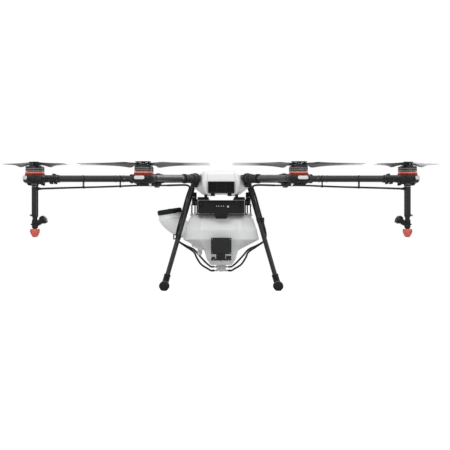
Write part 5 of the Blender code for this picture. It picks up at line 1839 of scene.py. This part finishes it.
    def build(self) -> None:
        """Places the battery, its button and the rack."""
        piece("battery_case", self.case(), BATTERY_DARK, "battery_pack", replaces=("battery",), weighted=True)
        piece("battery_panel", self.panel(), BATTERY_DARK, "battery_pack", weighted=True)
        piece("charge_lamps", self.lamps().mesh("charge_lamps"), LAMP, "battery_pack")
        piece("battery_handle", self.handle().mesh("battery_handle"), BLACK_MOULDED, "battery_pack")
        piece("battery_catches", self.latch_plates().mesh("battery_catches"), BLACK_GLOSS, "battery_pack")
        spot = Matrix.Translation(Vector((self.button_x, -self.front, self.button_z)) * MM)
        piece("button_cap", self.button(), FITTING_GREY, "button", spot, ("power_button",))
        piece("rack_channel", self.rack().mesh("rack_channel"), BLACK_CAST, "airframe",
              replaces=("battery_rack",))
        piece("rack_buffers", self.rack_trim().mesh("rack_buffers"), RUBBER, "airframe")
        piece("power_connector", self.power_plug().mesh("power_connector"), BLACK_GLOSS, "airframe")


@dataclass
class SprayTank:
    """The translucent tank with its filler, hinged lid, bosses and sump."""

    sections: tuple[Section, ...] = ((97, 40, 30, 58), (120, 55, 44, 84), (152, 64, 56, 100),
                                     (193, 143, 82, 136),
                                     (230, 134, 76, 146), (272, 120, 70, 132), (282, 111, 64, 122))
    corner: float = 46.0
    wall: float = 3.0
    mouth: Point = (-193, 0, 289)
    tilt: float = 8.6
    mouth_radius: float = 42.0
    bore: float = 38.0
    funnel_rings: tuple[tuple[float, float, float, float], ...] = (
        (-193, 289, 8.6, 42), (-189.5, 265.3, 8.6, 42), (-155, 238, 45, 36), (-112, 222, 75, 30))

    def mouth_frame(self) -> Matrix:
        """Returns the mouth's frame, whose Z axis leans away from the tank."""
        return at(*self.mouth) @ Matrix.Rotation(math.radians(-self.tilt), 4, "Y")

    def funnel(self, shrink: float, lift: float) -> Form:
        """Returns the filler's neck as a solid.

        Args:
            shrink: How much smaller than the outside it is.
            lift: How far it reaches beyond the mouth.

        Returns:
            The form.
        """
        places = smooth_route([(x, 0, z) for x, z, _, _ in self.funnel_rings], 5)
        shapes = smooth_route([(tilt, radius, 0) for _, _, tilt, radius in self.funnel_rings], 5)
        rings = []
        up = self.mouth_frame().to_3x3() @ Vector((0, 0, lift))
        for place, shape in [(places[0] + up, shapes[0])] * bool(lift) + list(zip(places, shapes)):
            angle = math.radians(shape.x)
            u = Vector((math.cos(angle), 0, math.sin(angle)))
            turns = [2 * math.pi * k / 48 for k in range(48)]
            radius = shape.y - shrink
            rings.append([place + radius * (math.cos(a) * u + math.sin(a) * Vector((0, 1,
                                                                                    0))) for a in turns])
        form = Form()
        form._skin(rings, False, 2 * math.pi * self.mouth_radius)
        return form

    def body(self) -> bpy.types.Mesh:
        """Returns the hollow tank with its filler opened up."""
        outer = Form().shaped([eight_corners(s, self.corner) for s in self.sections], edge=3.6, segments=3,
                              angle=7)
        first, last = self.sections[0], self.sections[-1]
        rings = [eight_corners(first, self.corner, self.wall, self.wall)]
        rings += [eight_corners(s, self.corner, self.wall) for s in self.sections[1:-1]]
        rings.append(eight_corners(last, self.corner, self.wall, -self.wall))
        hollow = Form().shaped(rings, edge=3.0, segments=2, angle=7)
        collar = Form()
        collar.ring(self.mouth_radius + 1.4, 30, -16, -12, self.mouth_frame(), 64, 1.0)
        collar.ring(self.mouth_radius + 1.4, 30, -6, -2.4, self.mouth_frame(), 64, 1.0)
        unions = [self.funnel(0, 0).mesh("neck"), collar.mesh("neck_rings")]
        cuts = [hollow.mesh("hollow"), self.funnel(self.mouth_radius - self.bore, 12).mesh("bore")]
        return carved(outer.mesh("tank_body"), unions, cuts, 12)

    def lobes(self) -> Form:
        """Returns the drain's lobe under one flank."""
        form = Form()
        low = [(-112, -70, 171), (-71, -70, 152), (-71, -20, 152), (-112, -20, 171)]
        rings = [[(x, y, z + 12) for x, y, z in low], [(x * 0.995, y * 0.99, z - 3) for x, y, z in low]]
        form.shaped(rings[::-1], edge=3.0, segments=3)
        return form

    def fittings(self) -> Form:
        """Returns the pale fittings: the drain below the lobe and the hose sockets on the tank's top."""
        form = Form()
        drain = at(-81, -45, 0)
        form.rod(8.4, 138, 156, drain, 6, 0.8)
        form.turned([(0, 133), (5.4, 133), (6.6, 134), (6.6, 139), (0, 139)], drain, 32)
        for side in (-1, 1):
            x0, x1 = sorted((side * 90, side * 118))
            form.box((x0, -84, 281), (x1, -56, 286), edge=1.2)
            for x in (98.5, 110.5):
                form.turned([(0, 284), (5.4, 284), (5.4, 289), (4.2, 290), (4.2, 294), (0, 294)],
                            at(side * x, -70), 28)
        return form

    def hinge(self) -> Form:
        """Returns the lid's hinge block on the neck, with its pin."""
        form = Form()
        frame = self.mouth_frame()
        form.box((38, -7, -9), (50, 7, 0.2), frame, 0.8)
        form.rod(3.8, -7, 7, frame @ at(51, 0, 3) @ along((0, 1, 0)), 28)
        return form

    def level_strip(self) -> Form:
        """Returns the raised level marks on the tank's front."""
        form = Form()
        for k in range(7):
            z = 204 + 9 * k
            share = (z - 193) / 37 if z < 230 else (z - 230) / 42
            reach = 136 + 10 * share if z < 230 else 146 - 14 * share
            width = 7 if k % 2 else 4
            form.box((60 - width, -reach - 0.5, z - 0.5), (60, -reach + 2, z + 0.5), edge=0.2, segments=1)
        return form

    def lid(self) -> None:
        """Places the lid with its grip ribs, vent and hinge straps."""
        frame = Matrix.Scale(MM, 4) @ self.mouth_frame() @ Matrix.Scale(1 / MM, 4)
        cap = Form()
        profile = [(0, 0.6), (44.6, 0.6), (46.0, 1.6), (46.0, 4.4), (44.6, 5.2), (44.6, 15.2), (42.6, 18.4),
                   (40.6, 19.6),
                   (26, 19.6), (24.4, 18.4), (0, 18.4)]
        cap.turned(profile, sides=72)
        for k in range(36):
            cap.prism(rounded_box(2.4, 3.6, 1.0, 2), 5.6, 16.6, spun(10 * k) @ at(44.9, 0), 0.6, 1)
        cap.prism(rounded_box(42, 9, 3), 18, 19.6, edge=1.0)
        piece("lid_cap", cap.mesh("lid_cap"), BLACK_MOULDED, "lid", frame, ("filler_lid",))
        straps = Form()
        for side in (-1, 1):
            y0, y1 = sorted((side * 7.6, side * 14))
            straps.box((38, y0, 4.6), (52, y1, 8), edge=0.6)
            straps.rod(3.8, y0, y1, at(51, 0, 3) @ along((0, 1, 0)), 28)
        piece("lid_straps", straps.mesh("lid_straps"), BLACK_CAST, "lid", frame)
        seal = Form().ring(41.6, 39.2, 0.35, 0.9, sides=64, edge=0.1)
        seal.ring(5, 2.4, 18.2, 20.4, at(0, 24, 0), 28)
        piece("lid_vent", seal.mesh("lid_vent"), RUBBER, "lid", frame)

    def build(self) -> None:
        """Places the tank and its lid."""
        piece("tank_body", self.body(), TANK_WHITE, "airframe", replaces=("spray_tank",), weighted=True)
        piece("tank_lobe", self.lobes().mesh("tank_lobe"), TANK_WHITE, "airframe", weighted=True)
        piece("tank_fittings", self.fittings().mesh("tank_fittings"), FITTING_GREY, "airframe")
        piece("lid_hinge_block", self.hinge().mesh("lid_hinge_block"), BLACK_MOULDED, "airframe")
        piece("level_marks", self.level_strip().mesh("level_marks"), TRIM_AND_HIGHLIGHT_GREY, "airframe")
        self.lid()


@dataclass
class Plumbing:
    """The two pumps, the outlet manifold and the four hoses from the arms."""

    pump_x: float = 101.5
    pump_y: float = -70.0
    down_leg: tuple[Point, ...] = (
        (203.6, 114.7, 397), (170, 113.5, 398), (142, 110, 398.5), (125, 106, 396.5), (119, 105, 389),
        (122, 106.5, 378), (129, 109, 358), (136, 111.5, 334), (145, 113, 300), (157, 118, 260),
        (166, 114, 226), (168, 107, 204), (160, 104, 186))
    front_home: tuple[Point, ...] = ((132, 96, 166), (103, 86, 146), (92, 76, 124), (75, 62, 99),
                                     (52, 40, 84),
                                     (38, 19, 76), (26.5, 9, 76))
    rear_home: tuple[Point, ...] = ((134, 96, 170), (104, 88, 156), (84, 76, 134), (62, 52, 110),
                                    (44, 27, 94),
                                    (35, 12, 90), (26.5, 9, 90))

    def pump(self, side: int) -> Form:
        """Returns one pump: its motor can, head and feet."""
        form = Form()
        spot = at(side * self.pump_x, self.pump_y)
        profile = [(0, 338), (8.6, 338), (9.2, 339), (9.2, 343), (8.6, 344), (8.6, 362), (9.2, 363),
                   (9.2, 368),
                   (7.6, 370.6), (3.4, 370.6), (3.0, 371), (0, 371)]
        form.turned(profile, spot, 40)
        for k in range(12):
            form.prism(rounded_box(1.6, 1.4, 0.4, 2), 344.5, 361.5, spot @ spun(30 * k) @ at(8.6, 0), 0.3, 1)
        form.prism(rounded_box(18.6, 18.6, 3.5), 324.6, 338.4, spot, 1.4, 3)
        x0, x1 = sorted((side * (self.pump_x - 9.5), side * (self.pump_x + 13)))
        form.box((x0, self.pump_y - 6, 321.4), (x1, self.pump_y + 6, 325.2), edge=0.8)
        return form

    def pump_screws(self, side: int) -> Form:
        """Returns the pump head's screws and the clamp band."""
        form = Form()
        spot = at(side * self.pump_x, self.pump_y)
        for x, z in ((-6, 328), (6, 328), (-6, 335), (6, 335)):
            form.screw(spot @ at(x, -9.2, z) @ along((0, -1, 0)), 1.6, 1.0)
        form.ring(9.5, 8.4, 351, 354.4, spot, 40)
        return form

    def pump_hoses(self, side: int) -> Form:
        """Returns a pump's two short hoses down to the tank."""
        form = Form()
        for offset in (-3, 9):
            x = side * (self.pump_x + offset)
            form.sweep(smooth_route([(x, self.pump_y, 323), (x, self.pump_y, 306),
                                     (x + side * 0.8, self.pump_y, 288)], 6),
                       2.5, 20)
        return form

    def route(self, side_x: int, side_y: int) -> list[Vector]:
        """Returns a supply hose's smooth route, from its arm to the manifold."""
        home = self.front_home if side_y < 0 else self.rear_home
        return smooth_route([(side_x * x, side_y * y, z) for x, y, z in self.down_leg + home], 5)

    def manifold(self) -> Form:
        """Returns the outlet block with its bosses, centre post and flange."""
        form = Form()
        form.box((-17, -17, 74), (17, 17, 94), edge=2.2, segments=3)
        form.prism(rounded_box(33.6, 33.6, 6), 92.5, 96.7, edge=0.8)
        form.turned([(0, 72.2), (6, 72.2), (7, 73), (7, 76), (0, 76)], sides=32)
        form.prism([(-5.5, 73.6), (5.5, 73.6), (4.4, 95), (-4.4, 95)], 12, 19.6, FRONT, 1.2)
        for side in (-1, 1):
            for y, z in ((-9, 76.6), (9, 90)):
                form.rod(4.4, 15, 20, at(0, y, z) @ along((side, 0, 0)), 28, 0.8)
        return form

    def barbs(self) -> Form:
        """Returns the manifold's barbs and the hose clamps on them."""
        form = Form()
        for side in (-1, 1):
            for y, z in ((-9, 76), (9, 90)):
                frame = at(0, y, z) @ along((side, 0, 0))
                form.rod(2.1, 18, 30, frame, 20)
                form.ring(4.0, 3.0, 28.5, 32.5, frame, 28)
                form.rod(1.3, -4.8, -3.0, at(side * 30.5, y, z) @ along((0, 0, -1)), 12)
        return form

    def leg_ties(self) -> Form:
        """Returns the ties that hold the four hoses to the legs."""
        form = Form()
        for side_x in (-1, 1):
            for side_y in (-1, 1):
                route = self.route(side_x, side_y)
                for index in (28, 40, 55):
                    ahead = route[index + 1] - route[index - 1]
                    form.ring(3.9, 2.8, -2.2, 2.2, along(tuple(ahead), tuple(route[index])), 24)
        return form

    def build(self) -> None:
        """Places the pumps, the manifold and the hoses."""
        for side, name in ((-1, "left"), (1, "right")):
            piece(f"pump_{name}", self.pump(side).mesh("pump"), BLACK_CAST, "airframe",
                  replaces=(f"delivery_pump_{name}",))
            piece(f"pump_screws_{name}", self.pump_screws(side).mesh("pump_screws"), STEEL, "airframe")
            piece(f"pump_hoses_{name}", self.pump_hoses(side).mesh("pump_hoses"), HOSE_PALE, "airframe")
        piece("manifold_block", self.manifold().mesh("manifold_block"), FITTING_GREY, "airframe",
              replaces=("outlet_manifold",))
        piece("manifold_barbs", self.barbs().mesh("manifold_barbs"), STEEL, "airframe")
        piece("hose_leg_ties", self.leg_ties().mesh("hose_leg_ties"), BLACK_MOULDED, "airframe")
        for side_x, x_name in ((-1, "left"), (1, "right")):
            for side_y, y_name in ((-1, "front"), (1, "rear")):
                hose = Form().sweep(self.route(side_x, side_y), 3.5, 18).mesh("supply_hose")
                piece(f"supply_hose_{y_name}_{x_name}", hose, HOSE, "airframe")


@dataclass
class RadarModule:
    """The flat radar ahead of the tank, with its connector blocks and bracket."""

    half: float = 38.5
    low: float = 138.0
    high: float = 200.0
    front: float = 176.0

    def case(self) -> Form:
        """Returns the radar's case."""
        outline = [(-self.half, self.low), (self.half, self.low), (self.half, self.high),
                   (-self.half, self.high)]
        form = Form().prism(outline, self.front - 16, self.front - 2.2, FRONT, 2.4, 3)
        inner = [(-self.half + 3, self.low + 3), (self.half - 3, self.low + 3),
                 (self.half - 3, self.high - 3),
                 (-self.half + 3, self.high - 3)]
        return form.prism(inner, self.front - 4, self.front - 0.2, FRONT, 1.4, 3)

    def screws(self) -> Form:
        """Returns the case's corner screws and the bracket's."""
        form = Form()
        for x in (-self.half + 5.4, self.half - 5.4):
            for z in (self.low + 5.4, self.high - 5.4):
                form.screw(at(x, -self.front + 0.3, z) @ along((0, -1, 0)), 1.7, 0.6)
        for x in (-28, 28):
            form.screw(at(x, -self.front + 5.2, 117.5) @ along((0, -1, 0)), 1.8, 1.0)
        return form

    def bracket(self) -> Form:
        """Returns the connector blocks under the radar, the bar below them and the bracket to the tank."""
        form = Form()
        back = self.front - 16
        form.box((-19, -self.front + 4, 121), (16, -back + 2, self.low + 0.5), edge=1.2)
        form.box((18, -self.front + 6, 120.4), (self.half - 1, -back + 1, 132), edge=1.0)
        form.box((-self.half, -self.front + 5, 114.2), (self.half, -back - 3, 121), edge=1.0)
        for x in (-30, 30):
            form.box((x - 7, -back - 4, 114.4), (x + 7, -97, 118), edge=0.7)
            form.box((x - 7, -100, 114.4), (x + 7, -96.6, 128), edge=0.7)
        for x in (-26, 26):
            form.box((x - 5, -back - 1, self.high - 6), (x + 5, -138, self.high - 3), edge=0.5)
        return form

    def lead(self) -> Form:
        """Returns the short lead from the connector block back under the tank."""
        route = [(-6, -163, 126), (-6, -150, 123), (-4, -128, 122), (-2, -106, 116), (0, -90, 110)]
        return Form().sweep(smooth_route(route, 6), 1.8, 14)

    def build(self) -> None:
        """Places the radar's pieces."""
        piece("radar_case", self.case().mesh("radar_case"), LIGHTER_BLACK_PLASTIC, "airframe",
              replaces=("radar_module",),
              weighted=True)
        piece("radar_screws", self.screws().mesh("radar_screws"), STEEL, "airframe")
        piece("radar_bracket", self.bracket().mesh("radar_bracket"), BLACK_CAST, "airframe")
        piece("radar_lead", self.lead().mesh("radar_lead"), HOSE, "airframe")


@dataclass
class LandingGear:
    """The two skids with their splayed legs, tees and rubber feet."""

    top: Point = (104.3, 88, 398)
    foot: Point = (214.8, 150, 17.5)
    leg: float = 8.5
    skid: float = 9.0
    bumper: float = 19.0

    def ends(self, side_x: int, side_y: int) -> tuple[Vector, Vector]:
        """Returns a leg's top and foot."""
        flip = Vector((side_x, side_y, 1))
        return Vector(self.top) * flip, Vector(self.foot) * flip

    def upright(self, side_x: int, side_y: int) -> Matrix:
        """Returns the frame that runs up a leg from its foot."""
        top, foot = self.ends(side_x, side_y)
        return along(tuple(top - foot), tuple(foot))

    def legs(self, side_x: int) -> Form:
        """Returns one side's two leg tubes."""
        form = Form()
        for side_y in (-1, 1):
            top, foot = self.ends(side_x, side_y)
            length = (top - foot).length
            form.ring(self.leg, 7.2, 10, length, self.upright(side_x, side_y), 40, 0.3)
        return form

    def skid_tube(self, side_x: int) -> Form:
        """Returns one side's skid tube."""
        frame = at(side_x * self.foot[0], 0, self.foot[2]) @ along((0, 1, 0))
        return Form().ring(self.skid, 7.6, -176, 176, frame, 40, 0.3)

    def tees(self, side_x: int) -> Form:
        """Returns one side's tee joints, with their clamp bosses and collar rings."""
        form = Form()
        for side_y in (-1, 1):
            frame = self.upright(side_x, side_y)
            profile = [(8.6, 6), (11.8, 6), (11.8, 40), (12.4, 41), (12.4, 44.4), (11.2, 46), (8.6, 46)]
            form.turned(profile, frame, 40)
            _, foot = self.ends(side_x, side_y)
            across = at(*foot) @ along((0, 1, 0))
            profile = [(9.1, -16), (12.2, -16), (13, -15), (13, -11), (12.4, -10), (12.4, 10), (13, 11),
                       (13, 15), (12.2, 16),
                       (9.1, 16)]
            form.turned(profile, across, 40)
        return form

    def tee_screws(self, side_x: int) -> Form:
        """Returns the screws through the tees."""
        form = Form()
        for side_y in (-1, 1):
            frame = self.upright(side_x, side_y)
            for rise in (22, 34):
                for turn in (90, 270):
                    form.screw(frame @ at(0, 0, rise) @ spun(turn) @ at(11.6, 0, 0) @ along((1, 0, 0)), 2.2,
                               1.4)
        return form

    def bumper_outline(self, grow: float) -> list[Flat]:
        """Returns a foot's outline, flattened on the ground, about the skid's axis."""
        points = []
        for k in range(48):
            angle = 2 * math.pi * (k + 0.5) / 48
            x = (self.bumper + grow) * math.cos(angle)
            points.append((x, max(self.foot[2] + (self.bumper + grow) * math.sin(angle), 0.0) - self.foot[2]))
        return points

    def bumpers(self, side_x: int) -> Form:
        """Returns one side's two rubber feet, with ribs round them and a rounded end."""
        form = Form()
        for side_y in (-1, 1):
            rings = []
            stations = ((162, -1.6), (164, 0), (172, 0), (173, -1.2), (176, -1.2), (177, 0), (186, 0),
                        (187, -1.2),
                        (190, -1.2), (191, 0), (209, 0), (213, -1.4), (215, -4.4))
            for run, grow in stations:
                rings.append([(side_x * self.foot[0] + x, side_y * run, self.foot[2] + z)
                              for x, z in self.bumper_outline(grow)])
            form._skin([[Vector(p) for p in ring] for ring in rings], False, 120)
        return form

    def highlights_and_collars(self, side_x: int) -> Form:
        """Returns the pale line over the top of each foot, a painted highlight, and the pale collar rings on
        the skid tubes.
        """
        form = Form()
        for side_y in (-1, 1):
            frame = at(side_x * self.foot[0], side_y * 175.2, self.foot[2]) @ along((0, 1, 0))
            outline = [(x, z) for z, x in ((z, x) for x, z in self.bumper_outline(-0.4)) if z > 2]
            arc = sorted(outline, key=lambda p: math.atan2(p[1], p[0]))
            # The pale bead runs only over the top of the foot: a painted highlight line.
            route = [(side_x * self.foot[0] + x, side_y * 174.5, self.foot[2] + z) for x, z in arc if z > 9]
            form.sweep(route, 0.8, 8)
            form.ring(11, 8.8, -16, -13, frame, 32) if side_y > 0 else form.ring(11, 8.8, 13, 16, frame, 32)
        return form

    def clip(self, side_x: int, height: float) -> Form:
        """Returns the open hose clip on a front leg.

        Args:
            side_x: The leg's side.
            height: The clip's height.

        Returns:
            The form.
        """
        top, foot = self.ends(side_x, -1)
        middle = foot.lerp(top, (height - foot.z) / (top.z - foot.z)) + Vector((side_x * 13, 1.5, 0))
        form = Form()
        for low, high in ((-9.8, -5.4), (5.4, 9.8)):
            form.box((-6.6, -3.4, low), (6.6, 3.4, high), at(*middle), 0.9)
        out = at(*middle) @ Matrix.Scale(side_x, 4, (1, 0, 0))
        form.box((2.6 if side_x < 0 else -6.6, -3.4, -9.8), (6.8, 3.4, 9.8), out, 0.9)
        form.ring(self.leg + 1.5, self.leg - 0.4, -8, 8,
                  self.upright(side_x, -1) @ at(0, 0, (middle.z - foot.z) / math.cos(math.radians(18.2))), 36)
        return form

    def build(self) -> None:
        """Places both sides of the landing gear."""
        for side_x, name, height in ((-1, "left", 203), (1, "right", 266)):
            parts: Parts = [
                ("leg_tubes", self.legs(side_x).mesh("leg_tubes"), CARBON),
                ("skid_tube", self.skid_tube(side_x).mesh("skid_tube"), CARBON),
                ("leg_tees", self.tees(side_x).mesh("leg_tees"), BLACK_MOULDED),
                ("tee_screws", self.tee_screws(side_x).mesh("tee_screws"), STEEL),
                ("skid_bumpers", self.bumpers(side_x).mesh("skid_bumpers"), RUBBER),
                ("bumper_highlights_and_collars", self.highlights_and_collars(side_x).mesh("bumper_highlights_and_collars"), TRIM_AND_HIGHLIGHT_GREY),
                ("leg_hose_clip", self.clip(side_x, height).mesh("leg_hose_clip"), BLACK_MOULDED),
            ]
            place_all(parts, f"_{name}", "airframe", Matrix(), (f"landing_gear_{name}",))


@dataclass
class Studio:
    """A white room: the floor, soft lights, white surroundings and the camera."""

    camera_spot: Point = (0.0143, -60.0, 0.2477)
    lens: float = 1273.0
    sky: float = 0.80

    def floor(self) -> None:
        """Places the white floor, which looks brighter than the light it gives."""
        mesh = bpy.data.meshes.new("studio_floor")
        size = 2.6
        mesh.from_pydata([(-size, -size, 0), (size, -size, 0), (size, size, 0), (-size, size, 0)], [],
                         [(0, 1, 2, 3)])
        obj = bpy.data.objects.new("studio_floor", mesh)
        obj.location.z = -0.0008
        bpy.context.scene.collection.objects.link(obj)
        material = bpy.data.materials.new("studio_floor")
        material.use_nodes = True
        tree = material.node_tree
        shader = tree.nodes["Principled BSDF"]
        shader.inputs["Base Color"].default_value = (0.62, 0.62, 0.62, 1)
        shader.inputs["Roughness"].default_value = 0.8
        shader.inputs["Emission Color"].default_value = (1, 1, 1, 1)
        path = tree.nodes.new("ShaderNodeLightPath")
        glow = tree.nodes.new("ShaderNodeMapRange")
        tree.links.new(path.outputs["Is Camera Ray"], glow.inputs["Value"])
        glow.inputs["To Min"].default_value = 0.0
        glow.inputs["To Max"].default_value = 0.62
        tree.links.new(glow.outputs["Result"], shader.inputs["Emission Strength"])
        mesh.materials.append(material)

    def surroundings(self) -> None:
        """Sets white surroundings, dimmer for lighting than they look."""
        scene = bpy.context.scene
        world = bpy.data.worlds.new("studio")
        world.use_nodes = True
        scene.world = world
        tree = world.node_tree
        back = tree.nodes["Background"]
        back.inputs["Color"].default_value = (1, 1, 1, 1)
        path = tree.nodes.new("ShaderNodeLightPath")
        mix = tree.nodes.new("ShaderNodeMapRange")
        tree.links.new(path.outputs["Is Camera Ray"], mix.inputs["Value"])
        mix.inputs["To Min"].default_value = self.sky
        mix.inputs["To Max"].default_value = 1.0
        tree.links.new(mix.outputs["Result"], back.inputs["Strength"])
        scene.view_settings.view_transform = "Standard"

    def light(self, name: str, spot: Point, size: float, power: float) -> None:
        """Adds a soft area light that faces the drone.

        Args:
            name: Its name.
            spot: Where it stands.
            size: Its side.
            power: Its power in watts.
        """
        lamp = bpy.data.lights.new(name, "AREA")
        lamp.size = size
        lamp.energy = power
        obj = bpy.data.objects.new(name, lamp)
        aim = Vector((0, 0, 0.25)) - Vector(spot)
        obj.matrix_world = Matrix.Translation(spot) @ aim.to_track_quat("-Z", "Y").to_matrix().to_4x4()
        bpy.context.scene.collection.objects.link(obj)

    def camera(self) -> None:
        """Places the camera, far off and level, looking along +Y."""
        lens = bpy.data.cameras.new("camera")
        lens.sensor_width = 36.0
        lens.lens = self.lens
        lens.clip_end = 200.0
        obj = bpy.data.objects.new("camera", lens)
        obj.location = self.camera_spot
        obj.rotation_euler = (math.pi / 2, 0, 0)
        bpy.context.scene.collection.objects.link(obj)
        bpy.context.scene.camera = obj

    def build(self) -> None:
        """Sets up the whole studio."""
        self.floor()
        self.surroundings()
        self.light("key_light", (-1.5, -3.0, 2.6), 1.8, 52)
        self.light("fill_light", (2.4, -3.0, 1.6), 2.2, 26)
        self.light("top_light", (0.2, 0.2, 3.2), 2.2, 26)
        self.light("rim_light", (1.2, 3.0, 1.6), 1.6, 16)
        self.camera()


def main() -> None:
    """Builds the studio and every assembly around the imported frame."""
    logging.basicConfig(level=logging.INFO, format="%(name)s: %(message)s")
    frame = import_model()
    layout = Layout({joint["name"]: joint for joint in frame["joints"]})
    Studio().build()
    assemblies = (CentreFrame(), TopCover(), BatteryBay(), SprayTank(), Plumbing(), RadarModule(),
                  LandingGear(),
                  FoldingArms(layout), MotorPods(layout), Rotors(layout), Blades(layout),
                  SprayNozzles(layout))
    for assembly in assemblies:
        assembly.build()
        LOG.info("finished %s", type(assembly).__name__)


if __name__ == "__main__":
    main()
